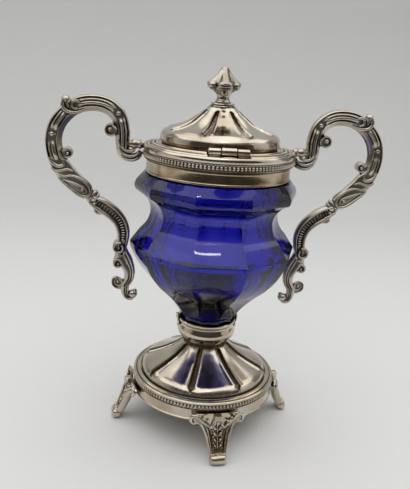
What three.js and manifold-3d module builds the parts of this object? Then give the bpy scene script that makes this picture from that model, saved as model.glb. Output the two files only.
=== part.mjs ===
// A covered sugar bowl: a facetted cobalt glass body held between a silver collar and a silver foot.
// Millimetres, +Z up. The origin is on the table under the middle of the glass, the two handles lie
// along X, and the lid's hinge is at the front, on the -Y side.
import * as THREE from "three";
import { mergeVertices } from "three/addons/utils/BufferGeometryUtils.js";
import Module from "manifold-3d";

const wasm = await Module();
wasm.setup();

// Driving sizes: heights above the table and radii about the upright axis.
// FIT is the clearance between pieces that rest on one another, GAP the one between moving pieces.
const RING_SEGMENTS = 32;
const FIT = 0.08;
const GAP = 0.3;

const GLASS = {
  facets: 10,
  firstCorner: -20,
  neckTop: 134.2,
  neckRadius: 31.2,
  mouthRadius: 27.2,
  flangeRadius: 38.0,
  waistRadius: 30.2,
  ridgeHeight: 91.5,
  ridgeRadius: 39.4,
  pegRadius: 11.0,
  pegBottom: 48.4,
};
const COLLAR = {
  bandRadius: 33.2,
  bandBottom: 125.4,
  bandTop: 134.5,
  sheet: 0.8,
  beddingBottom: 125.8,
  beddingTop: 133.6,
  beadBottom: 131.9,
  beadTop: 134.9,
  beadRadius: 34.5,
  rimBottom: 135.0,
  rimRadius: 35.0,
  mouthRadius: 24.9,
  seatHeight: 138.2,
};
const LID = {
  radius: 27.4,
  lipHeight: 140.3,
  topHeight: 155.6,
  topRadius: 6.1,
  sheet: 0.9,
  bezelRadius: 26.35,
  plugRadius: 24.45,
  plugBottom: 135.6,
  seat: 138.45,
};
const HINGE = {
  y: -29.3,
  z: 139.6,
  radius: 1.65,
  pinRadius: 0.6,
  halfLength: 8.6,
  middleHalf: 3.2,
  notchFloor: 136.85,
  plateDepth: 5.2,
};
const FINIAL = { base: 157.6, tip: 173.3, budRadius: 7.8, studRadius: 1.2, studLength: 6.6, lobes: 4 };
const FINIAL_NUT = { bore: 1.35, acrossCorners: 6.4, thickness: 2.0 };
const CUP = {
  top: 51.6,
  bottom: 41.95,
  radius: 14.3,
  rimRadius: 13.2,
  socketRadius: 12.2,
  socketFloor: 47.4,
};
const FOOT = {
  turn: 5,
  domeTop: 41.9,
  throatRadius: 9.4,
  domeRadius: 31.4,
  domeBottom: 24.2,
  sheet: 0.9,
  crown: 2.2,
  studRadius: 1.8,
  studBottom: 31.2,
  ringRadius: 35.2,
  bandBottom: 16.4,
  bandTop: 24.5,
  bandStep: 1.1,
  beadBottom: 22.3,
  beadTop: 24.6,
};
const FOOT_WASHER = { radius: 8.2, thickness: 1.2 };
const FOOT_NUT = { bore: 2.0, acrossCorners: 10.5, thickness: 3.2 };
const LEG = { reach: 43.5, toeRadius: 2.5, toeHalfWidth: 4.0, eyeRadius: 1.9, legs: 4 };
const HANDLE_DEPTH = 2.7;

// Each dome has this many flutes, and each flute's sector of the dome this many columns of points.
const FLUTES = 8;
const SECTOR_COLUMNS = 6;

const SILVER = { color: 0xb9b2a3, roughness: 0.28, metalness: 1.0 };
const DARK_SILVER = { color: 0x8d8678, roughness: 0.36, metalness: 1.0 };
const BRASS = { color: 0xa98a4f, roughness: 0.4, metalness: 1.0 };
const COBALT = { color: 0x16166e, roughness: 0.06, metalness: 0.0 };
const PLASTER = { color: 0xd8d2c4, roughness: 0.9, metalness: 0.0 };
const LEATHER = { color: 0x5b4632, roughness: 0.85, metalness: 0.0 };

// Turning between three.js geometry and manifold-3d solids.

function solid(geometry) {
  const bare = geometry.index ? geometry.toNonIndexed() : geometry.clone();
  bare.deleteAttribute("normal");
  bare.deleteAttribute("uv");
  const merged = mergeVertices(bare, 1e-4);
  const triVerts = new Uint32Array(merged.index.array);
  const vertProperties = new Float32Array(merged.attributes.position.array);
  const made = new wasm.Manifold(new wasm.Mesh({ numProp: 3, vertProperties, triVerts }));
  if (made.volume() > 0) return made;
  for (let i = 0; i < triVerts.length; i += 3) {
    [triVerts[i + 1], triVerts[i + 2]] = [triVerts[i + 2], triVerts[i + 1]];
  }
  return new wasm.Manifold(new wasm.Mesh({ numProp: 3, vertProperties, triVerts }));
}

function geometryOf(made) {
  const mesh = made.getMesh();
  const positions = new Float32Array(mesh.numVert * 3);
  for (let i = 0; i < mesh.numVert; i += 1) {
    positions.set(mesh.vertProperties.subarray(i * mesh.numProp, i * mesh.numProp + 3), i * 3);
  }
  const geometry = new THREE.BufferGeometry();
  geometry.setAttribute("position", new THREE.BufferAttribute(positions, 3));
  geometry.setIndex(new THREE.BufferAttribute(new Uint32Array(mesh.triVerts), 1));
  return geometry;
}

function union(solids) {
  return solids.reduce((all, next) => all.add(next));
}

// A profile of [radius, height] pairs turned about the upright axis.
function turned(profile, segments = RING_SEGMENTS) {
  const points = profile.map(([radius, height]) => new THREE.Vector2(radius, height));
  return new THREE.LatheGeometry(points, segments).rotateX(Math.PI / 2);
}

// A ring whose cross-section closes on itself.
function ring(profile, segments = RING_SEGMENTS) {
  return turned([...profile, profile[0]], segments);
}

// Points on a smooth curve through [radius, height] places.
function smooth(places, count) {
  const curve = new THREE.SplineCurve(places.map(([a, b]) => new THREE.Vector2(a, b)));
  return curve.getPoints(count).map((p) => [p.x, p.y]);
}

// A closed body lofted through rings of points that all have the same count.
function loft(rings) {
  const count = rings[0].length;
  const positions = rings.flat().flatMap((p) => [p.x, p.y, p.z]);
  const index = [];
  for (let i = 0; i + 1 < rings.length; i += 1) {
    for (let j = 0; j < count; j += 1) {
      const k = (j + 1) % count;
      const low = i * count;
      const high = low + count;
      index.push(low + j, low + k, high + k, low + j, high + k, high + j);
    }
  }
  const capStart = rings.length * count;
  for (const [end, first] of [[rings[0], 0], [rings.at(-1), (rings.length - 1) * count]]) {
    const middle = end.reduce((sum, p) => sum.add(p), new THREE.Vector3()).divideScalar(count);
    const hub = capStart + (first ? 1 : 0);
    positions.push(middle.x, middle.y, middle.z);
    for (let j = 0; j < count; j += 1) {
      const k = (j + 1) % count;
      index.push(...(first ? [hub, first + j, first + k] : [hub, first + k, first + j]));
    }
  }
  const geometry = new THREE.BufferGeometry();
  geometry.setAttribute("position", new THREE.Float32BufferAttribute(positions, 3));
  geometry.setIndex(index);
  return geometry;
}

// Glass body

// A ring of the glass: facet corners and facet middles, drawn in to flat sides as flatness goes to 1.
function glassRing(cornerRadius, height, flatness) {
  const points = [];
  const step = Math.PI / GLASS.facets;
  const start = THREE.MathUtils.degToRad(GLASS.firstCorner);
  for (let i = 0; i < 2 * GLASS.facets; i += 1) {
    const flat = i % 2 ? Math.cos(step) : 1;
    const radius = cornerRadius * THREE.MathUtils.lerp(1, flat, flatness);
    const angle = start + i * step;
    points.push(new THREE.Vector3(radius * Math.sin(angle), -radius * Math.cos(angle), height));
  }
  return points;
}

function glassBody() {
  const { neckTop, neckRadius, flangeRadius, waistRadius, ridgeHeight, ridgeRadius } = GLASS;
  const outside = [
    [GLASS.pegRadius, GLASS.pegBottom, 0],
    [GLASS.pegRadius + 0.4, 52.3, 0],
    [13.3, 53.5, 1],
    [14.0, 56.6, 1],
    [19.5, 64.1, 1],
    [25.2, 70.0, 1],
    [29.8, 74.2, 1],
    [35.0, 80.6, 1],
    [38.6, 87.6, 1],
    [ridgeRadius, ridgeHeight, 1],
    [34.8, 97.9, 1],
    [32.2, 100.8, 1],
    [30.7, 104.0, 1],
    [waistRadius, 107.6, 1],
    [31.4, 111.3, 1],
    [34.0, 114.4, 1],
    [flangeRadius - 0.5, 116.4, 1],
    [flangeRadius, 118.4, 1],
    [flangeRadius - 0.8, 121.2, 0.8],
    [33.9, 125.0, 0],
    [neckRadius, 125.3, 0],
    [neckRadius, neckTop, 0],
  ];
  const inside = [
    [0, 67.5],
    ...smooth([[8, 68.1], [18.5, 71.8], [25.8, 78.0], [31.4, 85.8], [33.2, 91.0]], 4),
    ...smooth([[28.2, 98.0], [24.9, 107.2], [26.2, 114.6], [GLASS.mouthRadius, 122]], 3),
    [GLASS.mouthRadius, neckTop + 1],
    [0, neckTop + 1],
  ];
  const body = solid(loft(outside.map(([radius, height, flat]) => glassRing(radius, height, flat))));
  return geometryOf(body.subtract(solid(turned(inside, 2 * GLASS.facets))));
}

// Fluted domes of the lid and of the foot

// Moves the columns of a turned dome so that in each sector four of them follow a narrow flute, and
// presses the flute in between its two raised edges. The sheet keeps one thickness.
function pressFlutes(geometry, flute) {
  const columns = [
    { reach: 2 / 3, rise: flute.bulge },
    { edge: 1, rise: flute.edge },
    { edge: 0.5, rise: -flute.depth },
    { edge: 0.5, rise: -flute.depth },
    { edge: 1, rise: flute.edge },
    { reach: 2 / 3, rise: flute.bulge },
  ];
  const half = Math.PI / FLUTES;
  const position = geometry.attributes.position;
  for (let i = 0; i < position.count; i += 1) {
    const x = position.getX(i);
    const y = position.getY(i);
    const radius = Math.hypot(x, y);
    const along = (radius - flute.start) / (flute.end - flute.start);
    const width = THREE.MathUtils.lerp(flute.topWidth, flute.endWidth, THREE.MathUtils.clamp(along, 0, 1));
    const edgeAngle = Math.min(width / 2 / radius, half * 0.55);
    const turn = Math.atan2(y, x) / (2 * Math.PI);
    const column = Math.round((turn + 1) * FLUTES * SECTOR_COLUMNS) % (FLUTES * SECTOR_COLUMNS);
    const sector = Math.floor(column / SECTOR_COLUMNS);
    const { edge, reach, rise } = columns[column % SECTOR_COLUMNS];
    const side = column % SECTOR_COLUMNS < SECTOR_COLUMNS / 2 ? -1 : 1;
    const away = edge === undefined ? THREE.MathUtils.lerp(edgeAngle, half, reach) : edge * edgeAngle;
    const angle = (sector + 0.5) * 2 * half + side * away + flute.turn;
    const begins = THREE.MathUtils.smoothstep(along, 0, 0.16);
    const ends = begins * (1 - THREE.MathUtils.smoothstep(along, 0.9, 1.02));
    position.setXYZ(i, radius * Math.cos(angle), radius * Math.sin(angle), position.getZ(i) + rise * ends);
  }
  return geometry;
}

function lidDome() {
  const outer = [
    [LID.topRadius, LID.topHeight],
    ...smooth([[7.2, 154.7], [11.3, 151.2], [15.4, 148.2], [20.7, 146.1], [25.0, 144.8]], 4),
    [26.9, 143.2],
    [LID.radius, LID.lipHeight],
  ];
  const hole = FINIAL.studRadius + GAP;
  const inner = [
    [LID.radius - LID.sheet, LID.lipHeight],
    [LID.radius - LID.sheet, 141.8],
    [14.9, 147.3],
    [6.8, 153.8],
    [hole, LID.topHeight - LID.sheet],
  ];
  const profile = [[hole, LID.topHeight], ...outer, ...inner, [hole, LID.topHeight]].reverse();
  const flute = {
    start: 7.4,
    end: 24.6,
    topWidth: 1.8,
    endWidth: 4.4,
    depth: 0.75,
    edge: 0.3,
    bulge: 0.25,
    turn: -Math.PI / 2,
  };
  return pressFlutes(turned(profile, FLUTES * SECTOR_COLUMNS), flute);
}

function footDome() {
  const { throatRadius, domeTop, domeRadius, domeBottom, sheet, crown, studRadius } = FOOT;
  const outer = [
    [throatRadius, domeTop],
    ...smooth([[11.2, 40.4], [14.6, 37.3], [21.6, 33.1], [26.4, 31.0], [29.3, 29.5], [30.9, 27.5]], 5),
    [domeRadius, domeBottom],
  ];
  const hole = studRadius + GAP;
  const inner = [
    [domeRadius - sheet, domeBottom],
    [29.9, 27.0],
    [27.6, 29.2],
    [13.4, 36.9],
    [10.2, domeTop - crown],
    [hole, domeTop - crown],
  ];
  const profile = [[hole, domeTop], ...outer, ...inner, [hole, domeTop]].reverse();
  const flute = {
    start: 11.0,
    end: 30.2,
    topWidth: 2.6,
    endWidth: 3.8,
    depth: 0.8,
    edge: 0.35,
    bulge: 0.3,
    turn: -Math.PI / 2,
  };
  return pressFlutes(turned(profile, FLUTES * SECTOR_COLUMNS), flute);
}

// Collar

function collarBand() {
  const { bandRadius, bandBottom, bandTop, sheet } = COLLAR;
  return ring([
    [bandRadius - sheet, bandBottom],
    [bandRadius, bandBottom],
    [bandRadius, bandTop],
    [bandRadius - sheet, bandTop],
  ]);
}

// A row of beads is a half-round strip between two fillets; its beads are cut at the finish.
function beadRing(innerRadius, outerRadius, bottom, top) {
  const height = top - bottom;
  return ring([
    [innerRadius, bottom],
    [outerRadius - 0.8, bottom],
    [outerRadius, bottom + height / 2],
    [outerRadius - 0.8, top],
    [innerRadius, top],
  ]);
}

// The flat-bottomed notch in the rim that takes the hinge's lower leaf.
function hingeNotch() {
  const { halfLength, plateDepth, notchFloor, y } = HINGE;
  const halfDepth = plateDepth / 2 + 0.6;
  return block(-halfLength - 0.5, halfLength + 0.5, y - halfDepth, y + halfDepth, notchFloor, notchFloor + 6);
}

function collarRim() {
  const { rimBottom, rimRadius, mouthRadius, seatHeight, bandTop } = COLLAR;
  const rim = solid(ring([
    [mouthRadius, bandTop + 0.1],
    [COLLAR.bandRadius - 0.1, bandTop + 0.1],
    [COLLAR.bandRadius - 0.1, rimBottom],
    [rimRadius - 0.6, rimBottom],
    [rimRadius, rimBottom + 1.3],
    [rimRadius - 0.7, rimBottom + 2.8],
    [rimRadius - 2.0, rimBottom + 2.4],
    [rimRadius - 3.6, rimBottom + 3.4],
    [rimRadius - 4.7, rimBottom + 2.9],
    [rimRadius - 6.0, rimBottom + 4.0],
    [rimRadius - 6.8, seatHeight],
    [mouthRadius, seatHeight],
  ]));
  return geometryOf(rim.subtract(solid(hingeNotch())));
}

function neckBedding() {
  const outer = COLLAR.bandRadius - COLLAR.sheet - 2 * FIT;
  const inner = GLASS.neckRadius + 3 * FIT;
  const { beddingBottom, beddingTop } = COLLAR;
  return ring([[inner, beddingBottom], [outer, beddingBottom], [outer, beddingTop], [inner, beddingTop]]);
}

// Lid fittings

function lidBezel() {
  const { bezelRadius, plugRadius, plugBottom, seat } = LID;
  return ring([
    [plugRadius - 1, plugBottom],
    [plugRadius, plugBottom],
    [plugRadius, seat],
    [bezelRadius, seat],
    [bezelRadius, seat + 2.9],
    [plugRadius - 1, seat + 0.8],
  ]);
}

function finialCollar() {
  const bottom = LID.topHeight + FIT;
  const top = FINIAL.base - FIT;
  const hole = FINIAL.studRadius + 0.2;
  const profile = [
    [hole, bottom],
    [5.7, bottom],
    [4.9, bottom + 0.6],
    [5.5, bottom + 1.2],
    [4.9, top],
    [hole, top],
  ];
  return ring(profile, 24);
}

function finial() {
  const { base, tip, budRadius, studRadius, studLength, lobes } = FINIAL;
  const profile = [
    [0, base - studLength],
    [studRadius, base - studLength],
    [studRadius, base],
    [4.5, base],
    [3.3, base + 0.9],
    [3.2, base + 2.4],
    [6.4, base + 5.0],
    [budRadius, base + 7.5],
    [5.9, base + 9.2],
    [3.8, base + 11.4],
    [1.3, tip - 1.2],
    [0, tip],
  ];
  const geometry = turned(profile, 24);
  const position = geometry.attributes.position;
  for (let i = 0; i < position.count; i += 1) {
    const swell = THREE.MathUtils.smoothstep(position.getZ(i), base + 2.8, base + 5.5);
    const fade = 1 - THREE.MathUtils.smoothstep(position.getZ(i), base + 8, base + 13);
    const angle = Math.atan2(position.getY(i), position.getX(i));
    const scale = 1 - 0.16 * swell * fade * (1 - Math.cos(lobes * angle));
    position.setXY(i, position.getX(i) * scale, position.getY(i) * scale);
  }
  return geometry;
}

function hexNut({ bore: boreRadius, acrossCorners, thickness }, bottom) {
  const nut = new THREE.CylinderGeometry(acrossCorners / 2, acrossCorners / 2, thickness, 6);
  const bore = new THREE.CylinderGeometry(boreRadius, boreRadius, thickness + 2, 16);
  for (const geometry of [nut, bore]) geometry.rotateX(Math.PI / 2).translate(0, 0, bottom + thickness / 2);
  return geometryOf(solid(nut).subtract(solid(bore)));
}

// Hinge

function barrel(from, to, radius) {
  const tube = new THREE.CylinderGeometry(radius, radius, to - from, 16);
  return tube.rotateZ(Math.PI / 2).translate((from + to) / 2, HINGE.y, HINGE.z);
}

function block(x0, x1, y0, y1, z0, z1) {
  const box = new THREE.BoxGeometry(x1 - x0, y1 - y0, z1 - z0);
  return box.translate((x0 + x1) / 2, (y0 + y1) / 2, (z0 + z1) / 2);
}

function hingeBore() {
  return solid(barrel(-HINGE.halfLength - 1, HINGE.halfLength + 1, HINGE.pinRadius + 0.15));
}

function collarHinge() {
  const { halfLength, middleHalf, radius, plateDepth, notchFloor, y, z } = HINGE;
  const inner = middleHalf + GAP;
  const seat = notchFloor + FIT;
  const halfDepth = plateDepth / 2;
  const plate = block(-halfLength, halfLength, y - halfDepth, y + halfDepth, seat, z - radius - GAP);
  const knuckles = [];
  for (const [from, to] of [[-halfLength, -inner], [inner, halfLength]]) {
    knuckles.push(solid(barrel(from, to, radius)));
    knuckles.push(solid(block(from, to, y - 1.1, y + 1.1, seat, z - 0.9)));
  }
  return geometryOf(union([solid(plate), ...knuckles]).subtract(hingeBore()));
}

function lidHinge() {
  const { middleHalf, radius, y, z } = HINGE;
  const leaf = block(-middleHalf, middleHalf, y, -LID.bezelRadius - 0.1, z - 0.45, z + 0.25);
  return geometryOf(solid(barrel(-middleHalf, middleHalf, radius)).add(solid(leaf)).subtract(hingeBore()));
}

function hingePin() {
  return barrel(-HINGE.halfLength - 0.2, HINGE.halfLength + 0.2, HINGE.pinRadius);
}

// Handles: scrolls drawn in the X-Z plane. Each is given for the right side by its places
// [distance from the axis, height, half-width].

// The moulded section across a scroll: raised edges with a channel between them, front and back.
function scrollSection(halfWidth, halfDepth) {
  const front = [[1, 0], [0.76, 1], [0, 0.6], [-0.76, 1]];
  const back = front.map(([u, v]) => [-u, -v]);
  return [...front, ...back].map(([u, v]) => [u * halfWidth, v * halfDepth]);
}

function scroll(places, stations, halfDepth) {
  const route = new THREE.CatmullRomCurve3(places.map(([x, z]) => new THREE.Vector3(x, 0, z)));
  const widths = new THREE.SplineCurve(places.map(([, , w], i) => new THREE.Vector2(i, w)));
  const rings = [];
  for (let i = 0; i <= stations; i += 1) {
    const t = i / stations;
    const place = route.getPoint(t);
    const along = route.getTangent(t);
    const across = new THREE.Vector3(-along.z, 0, along.x);
    const halfWidth = widths.getPoint(t).y;
    const section = scrollSection(halfWidth, Math.min(halfDepth, 0.9 * halfWidth + 0.6));
    rings.push(section.map(([u, v]) => place.clone().addScaledVector(across, u).setY(v)));
  }
  return solid(loft(rings));
}

// A round button, its axis along Y, with a rounded edge: the eye of a volute.
function volute(x, z, radius, halfDepth) {
  const face = radius * 0.8;
  const profile = [[0, -halfDepth], [face, -halfDepth], [radius, 0], [face, halfDepth], [0, halfDepth]];
  const points = profile.map(([r, h]) => new THREE.Vector2(r, h));
  return solid(new THREE.LatheGeometry(points, 8).translate(x, 0, z));
}

function handle() {
  const upper = [
    [38.9, 133.6, 1.2],
    [38.5, 130.9, 1.7],
    [41.2, 129.9, 2.0],
    [43.9, 132.4, 2.6],
    [43.9, 137.5, 3.2],
    [44.2, 143.5, 3.4],
    [46.2, 149.2, 3.5],
    [51.0, 153.0, 3.6],
    [57.0, 154.0, 3.6],
    [63.0, 152.8, 3.6],
    [68.4, 149.2, 3.5],
    [72.6, 143.6, 3.6],
    [74.2, 136.8, 3.7],
    [73.0, 129.8, 3.9],
    [69.6, 123.6, 4.2],
    [64.8, 118.2, 4.4],
    [58.6, 112.6, 3.6],
  ];
  const lower = [
    [57.6, 111.0, 3.0],
    [53.4, 108.8, 3.4],
    [48.6, 106.0, 3.4],
    [44.9, 101.6, 3.3],
    [43.2, 96.4, 3.0],
    [43.3, 90.6, 2.4],
  ];
  const foot = [
    [43.9, 87.4, 2.0],
    [42.4, 83.6, 2.2],
    [39.8, 79.6, 2.3],
    [39.2, 74.8, 2.3],
    [41.0, 70.4, 2.0],
    [43.8, 68.6, 1.6],
  ];
  const tail = [
    [41.2, 69.6, 1.9],
    [41.2, 65.6, 1.6],
    [40.0, 62.6, 1.4],
    [37.6, 62.4, 1.4],
  ];
  const stub = new THREE.CylinderGeometry(1.2, 1.5, 8.0, 8).rotateZ(Math.PI / 2).translate(39.4, 0, 137.0);
  const band = new THREE.CylinderGeometry(4.6, 4.6, 3.4, 12);
  band.rotateX(Math.PI / 2).scale(1, 0.72, 1).rotateY(Math.PI * 0.27).translate(58.0, 0, 111.6);
  const pieces = [
    scroll(upper, 21, HANDLE_DEPTH),
    scroll(lower, 8, HANDLE_DEPTH),
    scroll(foot, 7, 2.3),
    scroll(tail, 4, 1.9),
    volute(50.1, 142.9, 2.9, 2.6),
    volute(67.6, 131.2, 2.2, 2.6),
    volute(69.6, 154.4, 2.0, 2.0),
    volute(44.8, 88.8, 2.9, 2.9),
    volute(45.0, 81.6, 2.4, 2.3),
    volute(44.1, 70.6, 3.4, 2.5),
    volute(37.6, 63.2, 2.6, 2.2),
    volute(37.6, 80.6, 1.3, 1.6),
    solid(stub),
    solid(band),
  ];
  return geometryOf(union(pieces));
}

// Foot and its base

function stemCup() {
  const { top, bottom, radius, rimRadius, socketRadius, socketFloor } = CUP;
  const cup = solid(ring([
    [2.0, bottom + FIT],
    [9.8, bottom + FIT],
    [9.9, bottom + 0.8],
    [13.3, bottom + 2.5],
    [radius, bottom + 4.9],
    [radius - 0.5, bottom + 7.0],
    [rimRadius - 0.1, bottom + 8.3],
    [rimRadius, top],
    [socketRadius, top],
    [socketRadius, socketFloor],
    [2.0, socketFloor],
  ], 24));
  return geometryOf(union([cup, claw(0), claw(Math.PI)]));
}

// A small leaf that rises from the cup's shoulder and leans towards the glass.
function claw(turn) {
  // Distance from the axis, height and half-width.
  const places = [
    [14.0, 47.6, 1.6],
    [13.7, 49.6, 2.4],
    [13.7, 51.4, 2.4],
    [14.2, 53.0, 1.7],
    [15.0, 54.1, 0.5],
  ];
  const halfThickness = 0.5;
  const rings = places.map(([r, z, w]) => {
    const section = [[0, w], [1, w * 0.5], [1.25, 0], [1, -w * 0.5], [0, -w], [-0.9, 0]];
    return section.map(([out, side]) => new THREE.Vector3(r + out * halfThickness, side, z));
  });
  return solid(loft(rings).rotateZ(turn));
}

function cupBedding() {
  const outer = CUP.socketRadius - 2 * FIT;
  const inner = GLASS.pegRadius + 0.5;
  const floor = CUP.socketFloor + FIT;
  const seat = GLASS.pegBottom - FIT;
  const top = CUP.top - 1;
  return ring([[2.2, floor], [outer, floor], [outer, top], [inner, top], [inner, seat], [2.2, seat]], 24);
}

function baseRing() {
  const { domeRadius, ringRadius } = FOOT;
  const inner = domeRadius + 3 * FIT;
  return ring([
    [inner, FOOT.bandTop + FIT],
    [ringRadius, FOOT.beadTop + FIT],
    [ringRadius - 0.3, 25.8],
    [ringRadius - 1.3, 25.4],
    [ringRadius - 1.9, 26.1],
    [inner, 26.2],
  ]);
}

function baseBand() {
  const { ringRadius, bandBottom, bandTop, bandStep, beadBottom } = FOOT;
  const inner = ringRadius - 2.0;
  const step = ringRadius - bandStep;
  return ring([
    [inner, bandBottom],
    [ringRadius, bandBottom],
    [ringRadius, beadBottom - FIT],
    [step, beadBottom - FIT],
    [step, bandTop],
    [inner, bandTop],
  ]);
}

function footStud() {
  const { studRadius, studBottom } = FOOT;
  const top = CUP.socketFloor;
  return turned([[0, studBottom], [studRadius, studBottom], [studRadius, top], [0, top]], 16);
}

function footWasher() {
  const { radius, thickness } = FOOT_WASHER;
  const top = FOOT.domeTop - FOOT.crown - FIT;
  const hole = FOOT.studRadius + GAP;
  return ring([[hole, top - thickness], [radius, top - thickness], [radius, top], [hole, top]], 24);
}

function footNut() {
  const washerBottom = FOOT.domeTop - FOOT.crown - FIT - FOOT_WASHER.thickness;
  return hexNut(FOOT_NUT, washerBottom - FIT - FOOT_NUT.thickness);
}

// One splayed leg on the front side: a wide bracket bent round the skirt that tapers into the leg,
// a volute's eye at each end of the bracket, a square boss between them and a rolled toe.
function leg() {
  // Distance from the axis, height, half-width, relief on the face and depth behind it.
  const stations = [
    [36.9, 21.5, 8.6, 0.8, 1.4],
    [37.0, 20.7, 11.6, 1.1, 1.5],
    [37.1, 19.2, 12.6, 1.3, 1.6],
    [37.1, 17.9, 11.9, 1.4, 1.6],
    [37.3, 16.8, 9.0, 1.5, 1.8],
    [37.6, 15.2, 7.4, 1.6, 1.9],
    [38.5, 11.8, 5.9, 1.7, 1.8],
    [40.2, 7.4, 4.7, 1.7, 1.8],
    [42.0, 3.6, 3.9, 1.5, 1.6],
  ];
  const face = [[1, 0], [0.86, 1], [0.62, 0.2], [0, 0.7], [-0.62, 0.2], [-0.86, 1], [-1, 0]];
  const rings = stations.map(([r, z, w, relief, depth], i) => {
    const [r0, z0] = stations[Math.max(i - 1, 0)];
    const [r1, z1] = stations[Math.min(i + 1, stations.length - 1)];
    const lean = new THREE.Vector2(z0 - z1, r1 - r0).normalize();
    const front = face.map(([side, out]) => {
      return onLeg(side * w, r + out * relief * lean.x, z + out * relief * lean.y);
    });
    const back = [-0.85, -0.4, 0, 0.4, 0.85].map((side) => {
      return onLeg(side * w, r - depth * lean.x, z - depth * lean.y);
    });
    return [...front, ...back];
  });
  const { reach, toeRadius, toeHalfWidth, eyeRadius } = LEG;
  const toe = turned([
    [0, -toeHalfWidth],
    [0.7 * toeRadius, 0.4 - toeHalfWidth],
    [toeRadius, 1.8 - toeHalfWidth],
    [toeRadius, toeHalfWidth - 1.8],
    [0.7 * toeRadius, toeHalfWidth - 0.4],
    [0, toeHalfWidth],
  ], 10);
  toe.rotateY(Math.PI / 2).translate(0, -reach, toeRadius - 0.45);
  const back = FOOT.ringRadius + GAP;
  const eyes = [-1, 1].map((side) => {
    const eye = new THREE.CylinderGeometry(eyeRadius * 0.8, eyeRadius, 3.3, 8).rotateX(Math.PI);
    return solid(eye.translate(0, -back - 1.75, 18.9).rotateZ((side * 10.8) / back));
  });
  const boss = solid(block(-1.75, 1.75, -39.2, -36.2, 18.6, 21.4));
  const pieces = [solid(loft(rings)), solid(toe), boss, ...eyes];
  const floor = block(-20, 20, -60, -20, -10, 0);
  return union(pieces).subtract(solid(floor));
}

// A point of the leg: straight across below, and bent round the skirt where the bracket lies on it.
function onLeg(side, radius, height) {
  const straight = new THREE.Vector3(side, -radius, height);
  const bent = new THREE.Vector3(radius * Math.sin(side / radius), -radius * Math.cos(side / radius), height);
  return straight.lerp(bent, THREE.MathUtils.smoothstep(height, 11, 15.5));
}

// Assembly

const sugarBowl = new THREE.Group();

function place(parent, name, geometry, finish) {
  const mesh = new THREE.Mesh(geometry, new THREE.MeshStandardMaterial(finish));
  mesh.name = name;
  parent.add(mesh);
  return mesh;
}

function buildBowl() {
  const bowl = new THREE.Group();
  place(bowl, "glass_body", glassBody(), COBALT);
  place(bowl, "neck_bedding", neckBedding(), PLASTER);
  place(bowl, "collar_band", collarBand(), DARK_SILVER);
  const { bandRadius, beadRadius, beadBottom, beadTop } = COLLAR;
  place(bowl, "collar_bead_ring", beadRing(bandRadius + FIT, beadRadius, beadBottom, beadTop), SILVER);
  place(bowl, "collar_rim", collarRim(), SILVER);
  place(bowl, "hinge_leaf_collar", collarHinge(), SILVER);
  place(bowl, "hinge_pin", hingePin(), BRASS);
  const scrolls = handle();
  place(bowl, "handle_right", scrolls, SILVER);
  place(bowl, "handle_left", scrolls.clone(), SILVER).rotation.z = Math.PI;
  return bowl;
}

function buildFoot() {
  const foot = new THREE.Group();
  foot.rotation.z = THREE.MathUtils.degToRad(FOOT.turn);
  place(foot, "foot_dome", footDome(), SILVER);
  place(foot, "base_ring", baseRing(), SILVER);
  const { ringRadius, bandStep, beadBottom, beadTop } = FOOT;
  const beads = beadRing(ringRadius - bandStep + FIT, ringRadius + 0.1, beadBottom, beadTop);
  place(foot, "base_bead_ring", beads, SILVER);
  place(foot, "base_band", baseBand(), SILVER);
  const oneLeg = geometryOf(leg());
  ["foot_front", "foot_right", "foot_back", "foot_left"].forEach((name, i) => {
    place(foot, name, oneLeg.clone(), SILVER).rotation.z = (i * 2 * Math.PI) / LEG.legs;
  });
  return foot;
}

function buildStem() {
  const stem = new THREE.Group();
  place(stem, "stem_cup", stemCup(), SILVER);
  place(stem, "cup_bedding", cupBedding(), PLASTER);
  place(stem, "foot_stud", footStud(), BRASS);
  place(stem, "foot_washer", footWasher(), LEATHER);
  place(stem, "foot_nut", footNut(), BRASS);
  return stem;
}

function buildLid() {
  const lid = new THREE.Group();
  place(lid, "lid_dome", lidDome(), SILVER);
  place(lid, "lid_bezel", lidBezel(), DARK_SILVER);
  place(lid, "finial_collar", finialCollar(), SILVER);
  place(lid, "finial", finial(), SILVER);
  const nutBottom = LID.topHeight - LID.sheet - 0.5 - FINIAL_NUT.thickness;
  place(lid, "finial_nut", hexNut(FINIAL_NUT, nutBottom), BRASS);
  place(lid, "hinge_leaf_lid", lidHinge(), SILVER);
  return lid;
}

sugarBowl.add(buildBowl(), buildStem(), buildFoot(), buildLid());

export default sugarBowl;
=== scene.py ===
"""A covered sugar bowl: cut cobalt glass in a silver collar and on a fluted silver foot.

Each operator builds one piece, or one group of like pieces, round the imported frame.
"""
import math

import bmesh
import bpy
from bpy.props import FloatProperty, FloatVectorProperty, IntProperty, PointerProperty
from mathutils import Matrix, Vector


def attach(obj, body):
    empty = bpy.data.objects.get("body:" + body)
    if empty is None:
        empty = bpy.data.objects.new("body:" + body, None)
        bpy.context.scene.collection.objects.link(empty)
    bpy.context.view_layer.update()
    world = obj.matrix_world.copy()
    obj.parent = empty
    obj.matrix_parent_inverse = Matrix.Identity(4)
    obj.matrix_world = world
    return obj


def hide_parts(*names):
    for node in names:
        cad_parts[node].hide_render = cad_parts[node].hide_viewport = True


bl_info = {
    "name": "Covered sugar bowl",
    "version": (1, 0, 0),
    "blender": (4, 5, 0),
    "location": "3D View > Sidebar > Sugar bowl",
    "description": "Builds a covered sugar bowl of cut cobalt glass and silver round its packed frame",
    "category": "Add Mesh",
}

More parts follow.
